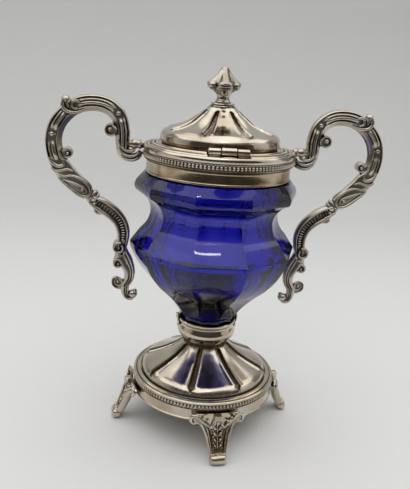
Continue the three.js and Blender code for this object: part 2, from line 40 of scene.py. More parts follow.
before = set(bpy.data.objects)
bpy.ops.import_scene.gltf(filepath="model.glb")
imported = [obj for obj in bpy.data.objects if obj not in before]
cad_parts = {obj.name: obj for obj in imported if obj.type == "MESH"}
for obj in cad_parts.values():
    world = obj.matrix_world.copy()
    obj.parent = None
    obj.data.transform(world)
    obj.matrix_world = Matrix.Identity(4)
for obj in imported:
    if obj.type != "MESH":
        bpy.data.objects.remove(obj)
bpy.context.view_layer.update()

MM = 0.001
TURN = 2 * math.pi
# The frame's two bodies: the lid turns on the bowl.
BOWL, LID = "bowl", "lid"
# Steps round a plain ring, about 1.5 mm each.
RING_STEPS = 144


# Colours

def linear(hex_code):
    """An sRGB hex colour as linear red, green, blue and alpha."""
    channels = [int(hex_code[i:i + 2], 16) / 255 for i in (1, 3, 5)]
    curve = [c / 12.92 if c <= 0.04045 else ((c + 0.055) / 1.055) ** 2.4 for c in channels]
    return (*curve, 1.0)


# Meshes: lengths are in millimetres until a point is placed.

def new_bmesh():
    """An empty mesh whose points remember their place in the profile or section they came from."""
    bm = bmesh.new()
    bm.verts.layers.int.new("place")
    return bm


def join(bm, part):
    """Adds a finished mesh to another and frees it."""
    mesh = bpy.data.meshes.new("part")
    part.to_mesh(mesh)
    part.free()
    bm.from_mesh(mesh)
    bpy.data.meshes.remove(mesh)


def lerp(a, b, t):
    """The value at a share t of the way from a to b."""
    return a + (b - a) * t


def clamp(value, low=0.0, high=1.0):
    """The value, kept between low and high."""
    return min(max(value, low), high)


def ease(value, low, high):
    """0 below low, 1 above high and a smooth rise between them."""
    t = clamp((value - low) / (high - low))
    return t * t * (3 - 2 * t)


def through(points, per_span):
    """Places on a smooth curve through points that have any number of coordinates."""
    p = [Vector(point) for point in points]
    p = [2 * p[0] - p[1], *p, 2 * p[-1] - p[-2]]
    places = []
    for a, b, c, d in zip(p, p[1:], p[2:], p[3:]):
        for step in range(per_span):
            t = step / per_span
            places.append(0.5 * (2 * b + (c - a) * t + (2 * a - 5 * b + 4 * c - d) * t ** 2
                                 + (3 * b - a - 3 * c + d) * t ** 3))
    places.append(p[-2].copy())
    return places


def lathe(profile, steps, closed=False, matrix=Matrix.Identity(4)):
    """A new mesh: a profile of (radius, height) spun about the upright axis, then moved."""
    bm = new_bmesh()
    place = bm.verts.layers.int["place"]
    verts = []
    for i, (radius, height) in enumerate(profile):
        vert = bm.verts.new((radius * MM, 0, height * MM))
        vert[place] = i
        verts.append(vert)
    pairs = list(zip(verts, verts[1:] + verts[:1])) if closed else list(zip(verts, verts[1:]))
    edges = [bm.edges.new(pair) for pair in pairs]
    bmesh.ops.spin(bm, geom=verts + edges, cent=(0, 0, 0), axis=(0, 0, 1), angle=TURN, steps=steps,
                   use_merge=True)
    bmesh.ops.remove_doubles(bm, verts=bm.verts, dist=1e-7)
    bmesh.ops.transform(bm, matrix=matrix, verts=bm.verts)
    return bm


def sweep(bm, frames, section):
    """A closed section of (across, out) places, given for each frame, carried along the frames and
    capped at both ends."""
    place = bm.verts.layers.int["place"]
    ring = []
    for i, (across, out) in enumerate(section(0)):
        vert = bm.verts.new(frames[0] @ Vector((across, out, 0)))
        vert[place] = i
        ring.append(vert)
    edges = [bm.edges.new(pair) for pair in zip(ring, ring[1:] + ring[:1])]
    ends = [edges]
    for step, here in enumerate(frames[1:], start=1):
        made = bmesh.ops.extrude_edge_only(bm, edges=edges)["geom"]
        verts = {g for g in made if isinstance(g, bmesh.types.BMVert)}
        edges = [g for g in made if isinstance(g, bmesh.types.BMEdge) and set(g.verts) <= verts]
        outline = section(step)
        for vert in verts:
            across, out = outline[vert[place]]
            vert.co = here @ Vector((across, out, 0))
    ends.append(edges)
    for end in ends:
        cap = bmesh.ops.contextual_create(bm, geom=end)["faces"]
        bmesh.ops.triangulate(bm, faces=cap)


def station(place, along, out):
    """The frame of a section that stands across a path: across and out in mm, at a place in mm."""
    along = along.normalized()
    across = out.cross(along).normalized()
    out = along.cross(across)
    matrix = Matrix((across * MM, out * MM, along * MM)).transposed().to_4x4()
    matrix.translation = place * MM
    return matrix


def tangents(places):
    """The direction of a path at each of its places."""
    ahead = places[1:] + places[-1:]
    behind = places[:1] + places[:-1]
    return [b - a for a, b in zip(behind, ahead)]


def circle(sides):
    """Places round a circle of radius 1."""
    return [(math.cos(TURN * i / sides), math.sin(TURN * i / sides)) for i in range(sides)]


def rib(bm, points, out, flat=0.8, sides=8):
    """A tapering round rib through points of (x, y, z, radius), pressed flat along out."""
    places = through(points, 5)
    centres = [Vector(p[:3]) for p in places]
    frames = [station(c, t, out) for c, t in zip(centres, tangents(centres))]

    def section(i):
        radius = max(places[i][3], 0.04)
        return [(u * radius, v * radius * flat) for u, v in circle(sides)]
    sweep(bm, frames, section)


def ball(bm, centre, radii, turn=Matrix.Identity(4), u=12, v=8):
    """An egg-shaped boss with three radii, turned about its centre."""
    matrix = Matrix.Translation(Vector(centre) * MM) @ turn @ Matrix.Diagonal((*(Vector(radii) * MM), 1))
    bmesh.ops.create_uvsphere(bm, u_segments=u, v_segments=v, radius=1.0, matrix=matrix)


def box(bm, low, high):
    """A block between two opposite corners. It returns the block's points."""
    centre = (Vector(low) + Vector(high)) / 2
    size = Vector(high) - Vector(low)
    matrix = Matrix.Translation(centre * MM) @ Matrix.Diagonal((*(size * MM), 1))
    return bmesh.ops.create_cube(bm, size=1.0, matrix=matrix)["verts"]


def bevel(bm, edges, width):
    """Rounds edges, in two facets each."""
    bmesh.ops.bevel(bm, geom=edges, offset=width * MM, offset_type="OFFSET", affect="EDGES", segments=2,
                    profile=0.5, clamp_overlap=True, material=-1)


def soften(bm, width, over=30, keep=None):
    """Rounds every edge whose faces meet at more than this many degrees, or those that keep picks."""
    bevel(bm, [e for e in bm.edges if e.is_manifold and e.calc_face_angle(0) > math.radians(over)
               and (keep is None or keep(e))], width)


def bead_row(radius, height, radii, count, gap=0.0):
    """A new mesh: beads side by side round a ring, with a gap in radians left at the hinge."""
    bm = new_bmesh()
    start = -math.pi / 2 + gap / 2
    turn = Matrix.Rotation(start, 4, "Z")
    ball(bm, turn @ Vector((radius, 0, height)), radii, turn, 8, 5)
    bmesh.ops.spin(bm, geom=bm.verts[:] + bm.edges[:] + bm.faces[:], cent=(0, 0, 0), axis=(0, 0, 1),
                   angle=(TURN - gap) * (count - 1) / count, steps=count - 1, use_duplicate=True)
    return bm


def make_piece(name, bm, body, material, stands_for=(), crisp=38):
    """Writes the mesh to an object that rides on a CAD body. Edges over crisp degrees stay sharp."""
    bmesh.ops.recalc_face_normals(bm, faces=bm.faces)
    for face in bm.faces:
        face.smooth = True
    for edge in bm.edges:
        edge.smooth = not (edge.is_manifold and edge.calc_face_angle(0) > math.radians(crisp))
    mesh = bpy.data.meshes.new(name)
    bm.to_mesh(mesh)
    bm.free()
    piece = bpy.data.objects.new(name, mesh)
    bpy.context.scene.collection.objects.link(piece)
    mesh.materials.append(material)
    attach(piece, body)
    if stands_for:
        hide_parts(*stands_for)
    return piece


def cut(piece, bm):
    """Takes a closed mesh out of a piece."""
    mesh = bpy.data.meshes.new("cutter")
    bmesh.ops.recalc_face_normals(bm, faces=bm.faces)
    bm.to_mesh(mesh)
    bm.free()
    cutter = bpy.data.objects.new("cutter", mesh)
    bpy.context.scene.collection.objects.link(cutter)
    trim = piece.modifiers.new("cut", "BOOLEAN")
    trim.operation, trim.solver, trim.object = "DIFFERENCE", "EXACT", cutter
    result = bpy.data.meshes.new_from_object(piece.evaluated_get(bpy.context.evaluated_depsgraph_get()))
    piece.modifiers.clear()
    piece.data = result
    bpy.data.objects.remove(cutter)


# Materials

def add(tree, kind, inputs=None, **settings):
    """Adds a node, sets its settings, and fills or links its inputs."""
    made = tree.nodes.new(kind)
    for key, value in settings.items():
        setattr(made, key, value)
    for key, value in (inputs or {}).items():
        if isinstance(value, bpy.types.NodeSocket):
            tree.links.new(value, made.inputs[key])
        else:
            made.inputs[key].default_value = value
    return made


def start_material(name):
    """A new material with only its output node."""
    material = bpy.data.materials.new(name)
    material.use_nodes = True
    tree = material.node_tree
    tree.nodes.clear()
    return material, tree, add(tree, "ShaderNodeOutputMaterial")


def scale_of(size):
    """The scale of a noise whose features are this many millimetres across."""
    return 1 / (size * MM)


# Brown of the stains, and of the painted reflection of the dark camera side on the lid's front panel.
STAIN_AND_REFLECTION_BROWN = linear("#4E4034")
SPOT_STRENGTH = 0.75
# A spot fades between these shares of its radius. The noise adds half a radius on average, so a spot shows
# about half as wide as its radius says.
SPOT_INSIDE, SPOT_OUTSIDE = 0.8, 1.2


def stain_and_reflection_spots(tree, where, under, spots):
    """A colour with ragged brown spots over it: stains, and painted reflections. A spot is (x, y, z, radius)
    in mm.
    """
    ragged = add(tree, "ShaderNodeTexNoise", {"Vector": where, "Scale": scale_of(3), "Detail": 3.0})
    for x, y, z, radius in spots:
        away = add(tree, "ShaderNodeVectorMath", {0: where, 1: Vector((x, y, z)) * MM}, operation="DISTANCE")
        edge = add(tree, "ShaderNodeMath", {0: ragged.outputs["Fac"], 1: radius * MM,
                                            2: away.outputs["Value"]}, operation="MULTIPLY_ADD")
        spot = add(tree, "ShaderNodeMapRange", {
            "Value": edge.outputs[0], "From Min": SPOT_OUTSIDE * radius * MM,
            "From Max": SPOT_INSIDE * radius * MM, "To Max": SPOT_STRENGTH})
        under = add(tree, "ShaderNodeMix", {0: spot.outputs[0], 6: under, 7: STAIN_AND_REFLECTION_BROWN},
                    data_type="RGBA").outputs[2]
    return under


def cast_silver(name, colour, tarnish, patina, shine, patina_reach, tarnish_share, wear, spots=()):
    """Cast and hand-polished silver plate: warm highlights, a thin brown film, black in the hollows.
    The patina reaches this far out of a hollow, in mm. Wear is how open a place must be before the
    polishing cloth reaches it, and where it reaches it fully."""
    material, tree, output = start_material(name)
    where = add(tree, "ShaderNodeTexCoord").outputs["Object"]
    # The patina's edge is uneven in grains of 1.6 mm.
    hollow = add(tree, "ShaderNodeAmbientOcclusion", {"Distance": patina_reach * MM}, samples=8)
    grime = add(tree, "ShaderNodeTexNoise", {"Vector": where, "Scale": scale_of(1.6), "Detail": 4.0})
    speckle = add(tree, "ShaderNodeMapRange", {"Value": grime.outputs["Fac"], "To Min": -0.15,
                                               "To Max": 0.15})
    worn = add(tree, "ShaderNodeMath", {0: hollow.outputs["AO"], 1: speckle.outputs[0]}, operation="ADD")
    clean = add(tree, "ShaderNodeMapRange", {"Value": worn.outputs[0], "From Min": wear[0],
                                             "From Max": wear[1]}, interpolation_type="SMOOTHSTEP")
    # The film is tarnish; on the bands it is also painted shade.
    # The film lies in clouds of 14 mm.
    film = add(tree, "ShaderNodeTexNoise", {"Vector": where, "Scale": scale_of(14), "Detail": 3.0})
    film_share = add(tree, "ShaderNodeMapRange", {"Value": film.outputs["Fac"], "From Min": 0.42,
                                                  "From Max": 0.70, "To Max": tarnish_share})
    tinted = add(tree, "ShaderNodeMix", {0: film_share.outputs[0], 6: colour, 7: tarnish},
                 data_type="RGBA")
    finished = add(tree, "ShaderNodeMix", {0: clean.outputs[0], 6: patina, 7: tinted.outputs[2]},
                   data_type="RGBA").outputs[2]
    # Brown spots over the finish: stains, and on the lid a painted reflection.
    if spots:
        finished = stain_and_reflection_spots(tree, where, finished, spots)
    # Wiping leaves smears of 5 mm, and the patina is nearly matt.
    smear = add(tree, "ShaderNodeTexNoise", {"Vector": where, "Scale": scale_of(5), "Detail": 5.0})
    gloss = add(tree, "ShaderNodeMapRange", {"Value": smear.outputs["Fac"], "From Min": 0.3,
                                             "From Max": 0.7, "To Min": shine, "To Max": shine + 0.09})
    rough = add(tree, "ShaderNodeMix", {0: clean.outputs[0], 2: 0.55, 3: gloss.outputs[0]},
                data_type="FLOAT")
    # Slow dents of 9 mm bend the reflections. Real scratches are too fine to show, so these are drawn
    # 0.3 mm wide and 4 mm long.
    dents = add(tree, "ShaderNodeTexNoise", {"Vector": where, "Scale": scale_of(9), "Detail": 1.0})
    wiped = add(tree, "ShaderNodeMapping", {"Vector": where, "Rotation": (0.4, 0.2, 0.7),
                                            "Scale": (scale_of(0.3), scale_of(4), scale_of(0.3))})
    scratches = add(tree, "ShaderNodeTexNoise", {"Vector": wiped.outputs[0], "Scale": 1.0, "Detail": 2.0})
    slow = add(tree, "ShaderNodeBump", {"Height": dents.outputs["Fac"], "Distance": 0.06 * MM,
                                        "Strength": 1.0})
    fine = add(tree, "ShaderNodeBump", {"Height": scratches.outputs["Fac"], "Distance": 0.004 * MM,
                                        "Strength": 0.6, "Normal": slow.outputs[0]})
    shader = add(tree, "ShaderNodeBsdfPrincipled", {
        "Base Color": finished, "Metallic": 1.0, "Roughness": rough.outputs[0],
        "Normal": fine.outputs[0]})
    tree.links.new(shader.outputs[0], output.inputs["Surface"])
    return material


def cut_glass(name, colour, density, shine):
    """Solid blown glass coloured all through with cobalt, cut and fire-polished: blue where the wall is
    thin, nearly black in the thick foot. Slow ripples of about 7 mm are the polisher's."""
    material, tree, output = start_material(name)
    where = add(tree, "ShaderNodeTexCoord").outputs["Object"]
    ripple = add(tree, "ShaderNodeTexNoise", {"Vector": where, "Scale": scale_of(7), "Detail": 1.5})
    smear = add(tree, "ShaderNodeTexNoise", {"Vector": where, "Scale": scale_of(3), "Detail": 3.0})
    gloss = add(tree, "ShaderNodeMapRange", {"Value": smear.outputs["Fac"], "From Min": 0.35,
                                             "From Max": 0.75, "To Min": shine, "To Max": shine + 0.03})
    tint = add(tree, "ShaderNodeMix", {0: smear.outputs["Fac"], 6: linear("#FBFBFC"), 7: linear("#F2F3F6")},
               data_type="RGBA")
    bump = add(tree, "ShaderNodeBump", {"Height": ripple.outputs["Fac"], "Distance": 0.03 * MM,
                                        "Strength": 1.0})
    shader = add(tree, "ShaderNodeBsdfPrincipled", {
        "Base Color": tint.outputs[2], "Roughness": gloss.outputs[0], "IOR": 1.52,
        "Transmission Weight": 1.0, "Normal": bump.outputs[0]})
    bulk = add(tree, "ShaderNodeVolumeAbsorption", {"Color": colour, "Density": density})
    tree.links.new(shader.outputs[0], output.inputs["Surface"])
    tree.links.new(bulk.outputs[0], output.inputs["Volume"])
    return material


def dull(name, colour, speck, grain, roughness, metallic=0.0):
    """A hidden fitting's finish: two tones in grains of a size in mm, and a bump of the same grain. The
    grains are drawn coarser than real ones, which wouldn't show."""
    material, tree, output = start_material(name)
    where = add(tree, "ShaderNodeTexCoord").outputs["Object"]
    noise = add(tree, "ShaderNodeTexNoise", {"Vector": where, "Scale": scale_of(grain), "Detail": 4.0})
    tone = add(tree, "ShaderNodeMix", {0: noise.outputs["Fac"], 6: colour, 7: speck}, data_type="RGBA")
    rough = add(tree, "ShaderNodeMapRange", {"Value": noise.outputs["Fac"], "To Min": roughness,
                                             "To Max": min(roughness + 0.2, 1.0)})
    bump = add(tree, "ShaderNodeBump", {"Height": noise.outputs["Fac"], "Distance": 0.05 * MM})
    shader = add(tree, "ShaderNodeBsdfPrincipled", {
        "Base Color": tone.outputs[2], "Metallic": metallic, "Roughness": rough.outputs[0],
        "Normal": bump.outputs[0]})
    tree.links.new(shader.outputs[0], output.inputs["Surface"])
    return material


# Brown spots on the lid: the largest, in the middle of the front panel, is a painted reflection of the dark
# camera side; the rest are stains on the panel and low in the flutes beside it.
LID_STAINS_AND_REFLECTION = [(-1.7, -20.0, 146.4, 4.8), (-10.2, -21.9, 145.1, 4.4), (8.9, -22.0, 145.2, 4.0),
              (-5.4, -12.2, 149.8, 2.6), (5.0, -10.2, 151.2, 2.4)]


def finish_named(name, settings):
    """The material of this name, made the first time that a piece asks for it."""
    if name in bpy.data.materials:
        return bpy.data.materials[name]
    silver = (*settings.silver_colour, 1.0)
    patina = (*settings.patina_colour, 1.0)
    cobalt = (*settings.cobalt_colour, 1.0)
    tarnish, deep_tarnish = linear("#9A7C55"), linear("#8A6A45")
    makers = {
        # Plain turned parts, wiped often: a clear warm mirror, brown only in its tightest corners.
        "polished_silver_plate": lambda: cast_silver(
            name, silver, tarnish, patina, shine=0.09, patina_reach=1.0, tarnish_share=0.5,
            wear=(0.30, 0.78)),
        # Legs and rope line: bright tops on a soft brown ground, so that the relief reads.
        "cast_silver_relief": lambda: cast_silver(
            name, silver, tarnish, linear("#4C4337"), shine=0.15, patina_reach=1.2, tarnish_share=0.45,
            wear=(0.34, 0.82)),
        # Rows of beads: a cloth skims them, so each has a broad soft glint and a dark edge.
        "beaded_silver": lambda: cast_silver(
            name, silver, tarnish, patina, shine=0.26, patina_reach=0.7, tarnish_share=0.3,
            wear=(0.28, 0.72)),
        # The bud: greyer, with mirrors on its petals and deep brown between them.
        "darkened_cast_silver": lambda: cast_silver(
            name, linear("#BDB6AA"), linear("#6E5D4A"), patina, shine=0.12, patina_reach=3.0,
            tarnish_share=0.6, wear=(0.55, 0.97)),
        # The handles: greyer and softer, because only a brush gets between their scrolls.
        "unpolished_cast_silver": lambda: cast_silver(
            name, linear("#CDC6BA"), linear("#86745F"), patina, shine=0.25, patina_reach=1.3,
            tarnish_share=0.55, wear=(0.40, 0.86)),
        # The foot's dome: polished panels, with brown lying along the flutes.
        "fluted_silver_plate": lambda: cast_silver(
            name, silver, deep_tarnish, linear("#54432F"), shine=0.15, patina_reach=3.0,
            tarnish_share=0.35, wear=(0.70, 0.95)),
        # The lid's dome: the same, glossier and darker in the flutes, with brown stains and a painted
        # reflection of the dark camera side on its front panel.
        "stained_and_reflecting_silver_lid": lambda: cast_silver(
            name, silver, deep_tarnish, linear("#4A3826"), shine=0.10, patina_reach=3.0,
            tarnish_share=0.40, wear=(0.70, 0.95), spots=LID_STAINS_AND_REFLECTION),
        # Bands that nobody rubs: a yellow-brown film over the whole of a smooth mirror. It is partly tarnish
        # and partly painted shade, for the dark room that the neck band mirrors and the shadow under the
        # lid's lip.
        "tarnished_and_shaded_silver_band": lambda: cast_silver(
            name, linear("#BCAE93"), linear("#7A5336"), patina, shine=0.14, patina_reach=1.6,
            tarnish_share=1.0, wear=(0.38, 0.86)),
        # Dulled turned brass: yellow-brown, with a satin sheen.
        "turned_brass": lambda: dull(name, linear("#B08D4C"), linear("#7A5A2C"), 1.2, 0.35, 1.0),
        # Cobalt glass, cut and polished: saturated violet-blue with sharp highlights.
        "cut_cobalt_glass": lambda: cut_glass(name, cobalt, settings.glass_depth, 0.01),
        # Cast plaster: chalky and matt.
        "casting_plaster": lambda: dull(name, linear("#D9D2C2"), linear("#B7AE9A"), 0.8, 0.8),
        # Sole leather: brown, close-grained and waxy.
        "sole_leather": lambda: dull(name, linear("#5E4630"), linear("#3C2B1D"), 0.6, 0.65),
    }
    return makers[name]()


# Glass body

# The height of the mouth.
NECK_TOP = 134.2
# Degrees from the front to a corner between two facets.
FIRST_CORNER = -20.0
# Columns of the mesh in each facet.
PER_FACET = 8


def glass_rows():
    """The body's outline from the peg's foot up the outside, over the mouth and down the inside, as
    (radius at a corner, height, how flat the facets are), and the rows whose edges are ground soft."""
    peg = [(0, 48.4, 0), (11.0, 48.4, 0), (11.4, 52.3, 0), (13.3, 53.5, 1)]
    lower = [(14.0, 56.6), (19.5, 64.1), (25.2, 70.0), (29.8, 74.2), (35.0, 80.6), (38.6, 87.6),
             (39.4, 91.5)]
    waist = [(34.8, 97.9), (32.2, 100.8), (30.7, 104.0), (30.2, 107.6), (31.4, 111.3), (34.0, 114.4),
             (37.5, 116.4)]
    shoulder = [(38.0, 117.6, 1), (38.0, 119.2, 1), (37.2, 121.2, 0.9), (35.6, 123.2, 0.55),
                (33.9, 125.0, 0), (31.2, 125.3, 0), (31.2, NECK_TOP, 0)]
    hollow = [(27.2, 122.0), (26.2, 114.6), (24.9, 107.2), (28.2, 98.0), (33.2, 91.0), (31.4, 85.8),
              (25.8, 78.0), (18.5, 71.8), (8.0, 68.1)]
    outside = peg + [(*p, 1) for p in through(lower, 3)] + [(*p, 1) for p in through(waist, 4)] + shoulder
    inside = [(27.2, NECK_TOP, 0)] + [(*p, 0) for p in through(hollow, 5)] + [(0, 67.5, 0)]
    return outside + inside, range(len(peg), len(outside) - 2)


def build_bowl(settings):
    """Cut facets outside, a smooth blown hollow inside and a solid peg below for the cup."""
    rows, cut_rows = glass_rows()
    bm = lathe([row[:2] for row in rows], settings.facets * PER_FACET)
    place = bm.verts.layers.int["place"]
    facet = TURN / settings.facets
    corner = math.radians(FIRST_CORNER) - math.pi / 2
    column = facet / PER_FACET
    bmesh.ops.rotate(bm, verts=bm.verts, cent=(0, 0, 0),
                     matrix=Matrix.Rotation((corner % column), 3, "Z"))
    for vert in bm.verts:
        flat = rows[vert[place]][2]
        if flat:
            from_middle = (math.atan2(vert.co.y, vert.co.x) - corner) % facet - facet / 2
            pull = lerp(1.0, math.cos(facet / 2) / math.cos(from_middle), flat)
            vert.co.x *= pull
            vert.co.y *= pull
    soften(bm, 0.28, over=11, keep=lambda e: all(v[place] in cut_rows for v in e.verts))
    make_piece("cobalt_bowl", bm, BOWL, finish_named("cut_cobalt_glass", settings),
               ["glass_body"], crisp=9)


# Collar

def build_collar(settings):
    """The plain neck band, the row of beads over it and the stepped rim that carries the lid."""
    bm = lathe([(32.4, 125.4), (33.0, 125.4), (33.35, 125.7), (33.35, 126.3), (33.1, 126.6), (33.1, 130.4),
                (33.3, 130.7), (33.3, 131.3), (33.05, 131.6), (33.1, 134.4), (32.4, 134.4)],
               RING_STEPS, closed=True)
    soften(bm, 0.1)
    # The band's yellow-brown film is partly tarnish and partly a painted reflection of the dark room in
    # front.
    make_piece("neck_band", bm, BOWL, finish_named("tarnished_and_shaded_silver_band", settings),
               ["collar_band"])

    bm = lathe([(33.3, 131.9), (34.2, 131.9), (34.45, 132.05), (34.4, 132.25), (33.9, 132.4), (33.7, 133.4),
                (33.9, 134.45), (34.3, 134.6), (34.35, 134.75), (34.2, 134.9), (33.3, 134.9)],
               RING_STEPS, closed=True)
    count = round(TURN * 33.9 * MM / settings.bead_pitch)
    join(bm, bead_row(34.15, 133.45, (0.82, 0.76, 0.98), count))
    make_piece("collar_beads", bm, BOWL, finish_named("beaded_silver", settings),
               ["collar_bead_ring"])

    torus = [(33.1, 135.0), (34.3, 135.0), (34.85, 135.6), (35.0, 136.3), (34.85, 137.1), (34.3, 137.7),
             (33.7, 137.8)]
    steps = [(33.35, 137.25), (33.0, 137.1), (32.75, 137.5), (32.4, 138.0), (32.0, 138.15), (31.7, 137.9),
             (31.55, 137.35), (31.25, 137.4), (31.0, 137.95), (30.6, 138.1), (29.9, 138.1), (29.6, 137.8),
             (29.35, 137.8), (29.15, 138.6), (28.8, 138.95), (28.35, 138.9), (28.1, 138.5), (28.0, 138.2)]
    bm = lathe([(24.9, 134.6), (33.1, 134.6)] + torus + steps + [(24.9, 138.2)], 160, closed=True)
    soften(bm, 0.08, over=40)
    rim = make_piece("stepped_rim", bm, BOWL, finish_named("polished_silver_plate", settings),
                     ["collar_rim"])
    # The hinge's lower leaf is let into the rim.
    notch = new_bmesh()
    box(notch, (-9.1, -32.5, 136.85), (9.1, -26.1, 143.0))
    cut(rim, notch)

    # The rope line stops at the hinge.
    rope = bead_row(30.25, 138.2, (0.48, 0.46, 0.42), 170, gap=math.radians(37))
    make_piece("rim_rope", rope, BOWL, finish_named("cast_silver_relief", settings))


# Hinge

# The hinge's axis, its barrel's radius, and half the length of the hinge and of its middle barrel.
HINGE_Y, HINGE_Z = -29.3, 139.6
KNUCKLE = 1.65
HALF_HINGE, HALF_MIDDLE = 8.6, 3.2


def knuckle(bm, low, high, radius):
    """A barrel along X, round at its rims."""
    profile = [(0, low), (radius * 0.88, low), (radius, low + 0.15), (radius, high - 0.15),
               (radius * 0.88, high), (0, high)]
    join(bm, lathe(profile, 32, matrix=Matrix.Translation((0, HINGE_Y * MM, HINGE_Z * MM))
                   @ Matrix.Rotation(math.pi / 2, 4, "Y")))


def build_hinge(settings):
    """A five-part hinge: a plate with two barrels on the rim, one barrel on the lid, and a rod."""
    silver = finish_named("polished_silver_plate", settings)
    bm = new_bmesh()
    inner = HALF_MIDDLE + 0.3
    box(bm, (-HALF_HINGE, HINGE_Y - 2.6, 136.93), (HALF_HINGE, HINGE_Y + 2.6, 137.65))
    for low, high in ((-HALF_HINGE, -inner), (inner, HALF_HINGE)):
        box(bm, (low + 0.4, HINGE_Y - 0.7, 137.0), (high - 0.4, HINGE_Y + 0.9, 138.8))
    soften(bm, 0.15)
    for low, high in ((-HALF_HINGE, -inner), (inner, HALF_HINGE)):
        knuckle(bm, low, high, 0.84 * KNUCKLE)
    make_piece("hinge_lower_leaf", bm, BOWL, silver, ["hinge_leaf_collar"])

    bm = new_bmesh()
    box(bm, (-HALF_MIDDLE, HINGE_Y, HINGE_Z - 0.45), (HALF_MIDDLE, -26.5, HINGE_Z + 0.25))
    soften(bm, 0.1)
    knuckle(bm, -HALF_MIDDLE, HALF_MIDDLE, KNUCKLE)
    make_piece("hinge_upper_leaf", bm, LID, silver, ["hinge_leaf_lid"])

    bm = new_bmesh()
    knuckle(bm, -HALF_HINGE - 0.2, HALF_HINGE + 0.2, 0.6)
    make_piece("hinge_rod", bm, BOWL, finish_named("turned_brass", settings), ["hinge_pin"])


# Handles: places are (distance from the axis, height, half-width) of the right handle.

UPPER_SCROLL = [
    (35.7, 134.0, 1.0), (37.0, 131.8, 1.7), (40.3, 130.8, 2.1), (43.2, 132.7, 2.7), (43.9, 137.5, 3.2),
    (44.2, 143.5, 3.4), (46.2, 149.2, 3.5), (51.0, 153.0, 3.6), (57.0, 154.0, 3.6), (63.0, 152.8, 3.6),
    (68.4, 149.2, 3.5), (72.6, 143.6, 3.6), (74.2, 136.8, 3.7), (73.0, 129.8, 3.9), (69.6, 123.6, 4.2),
    (64.8, 118.2, 4.3), (58.8, 113.0, 3.2)]
LOWER_SCROLL = [
    (57.2, 110.9, 2.5), (53.0, 108.4, 3.5), (47.8, 105.0, 3.4), (44.1, 100.9, 3.2), (42.5, 96.1, 3.05),
    (42.6, 91.4, 2.7), (43.0, 87.6, 2.2)]
FOOT_SCROLL = [
    (43.1, 88.8, 2.3), (42.5, 85.0, 3.1), (41.0, 81.6, 3.4), (39.4, 78.2, 2.8), (38.9, 75.2, 2.5),
    (39.4, 72.2, 2.2), (41.2, 69.5, 1.7), (43.8, 68.4, 1.3), (46.1, 69.6, 1.05), (46.4, 71.8, 0.9),
    (45.0, 72.8, 0.7), (43.6, 72.0, 0.5)]
TAIL_SCROLL = [
    (40.9, 70.2, 2.1), (40.9, 66.6, 1.9), (39.9, 63.9, 1.6), (38.0, 63.2, 1.4), (36.8, 64.4, 1.4)]
# Half the thickness of the large scrolls, the foot scroll and the tail.
SCROLL_DEPTH, FOOT_DEPTH, TAIL_DEPTH = 2.7, 2.3, 1.9
FRONT = Vector((0, -1, 0))


class Scroll:
    """A scroll's middle line in the X-Z plane, with its half-width, sampled evenly between places. Where
    it is thin, its depth goes with its width."""

    def __init__(self, places, per_span, depth, edge=0.6):
        samples = through(places, per_span)
        self.per_span = per_span
        self.centres = [Vector((p[0], 0, p[1])) for p in samples]
        self.widths = [p[2] for p in samples]
        self.along = [t.normalized() for t in tangents(self.centres)]
        self.depths = [min(depth, 0.9 * w + edge) for w in self.widths]

    def frames(self):
        """The frame of each section along the scroll."""
        return [station(c, t, FRONT) for c, t in zip(self.centres, self.along)]

    def at(self, step, across, out):
        """A place over the scroll: step counts its given places, across and out are shares of its size."""
        i = clamp(step * self.per_span, 0, len(self.centres) - 1)
        low = min(int(i), len(self.centres) - 2)
        t = i - low
        centre = self.centres[low].lerp(self.centres[low + 1], t)
        along = self.along[low].lerp(self.along[low + 1], t)
        side = FRONT.cross(along).normalized()
        width = lerp(self.widths[low], self.widths[low + 1], t)
        depth = lerp(self.depths[low], self.depths[low + 1], t)
        return centre + side * across * width + FRONT * out * depth


def mirrored(front):
    """A section's front half, from one edge to the other, and the same behind."""
    return front + [(u, -v) for u, v in reversed(front[1:-1])]


# Across a moulded scroll, from its outer edge: rim, groove, two reeds, groove, inner rim, hollow slope.
MOULDED = [(1.0, 0.0), (0.99, 0.30), (0.955, 0.54), (0.90, 0.70), (0.83, 0.74), (0.76, 0.62), (0.70, 0.46),
           (0.62, 0.74), (0.50, 0.93), (0.38, 0.84), (0.31, 0.60), (0.24, 0.82), (0.10, 0.95), (-0.06, 0.94),
           (-0.18, 0.78), (-0.25, 0.54), (-0.31, 0.52), (-0.38, 0.76), (-0.46, 0.78), (-0.54, 0.62),
           (-0.74, 0.38), (-0.90, 0.20), (-1.0, 0.0)]
REEDS = range(7, 15)
# The depth of the channel where the reeds stop, and the steps between which they run.
CHANNEL = 0.52
REEDED_PANELS = ((3.3, 5.75), (6.45, 9.1), (10.0, 11.3), (11.95, 13.2))
# The steps between which the section turns to the leaf's bed, which has as many places as MOULDED.
LEAF_START, LEAF_FULL = 13.0, 13.8
LEAF_BED = [(math.cos(math.pi * i / 22), 0.68 * math.sin(math.pi * i / 22) ** 0.45) for i in range(23)]
# Across the ticked scroll: broad smooth rim, sunk channel, thin inner rim and cove.
CHANNELLED = [(1.0, 0.0), (1.0, 0.42), (0.94, 0.70), (0.84, 0.86), (0.68, 0.90), (0.52, 0.84),
              (0.42, 0.62), (0.36, 0.40), (0.0, 0.36), (-0.38, 0.40), (-0.46, 0.62), (-0.56, 0.88),
              (-0.68, 0.94), (-0.80, 0.84), (-0.90, 0.60), (-0.98, 0.30), (-1.0, 0.0)]
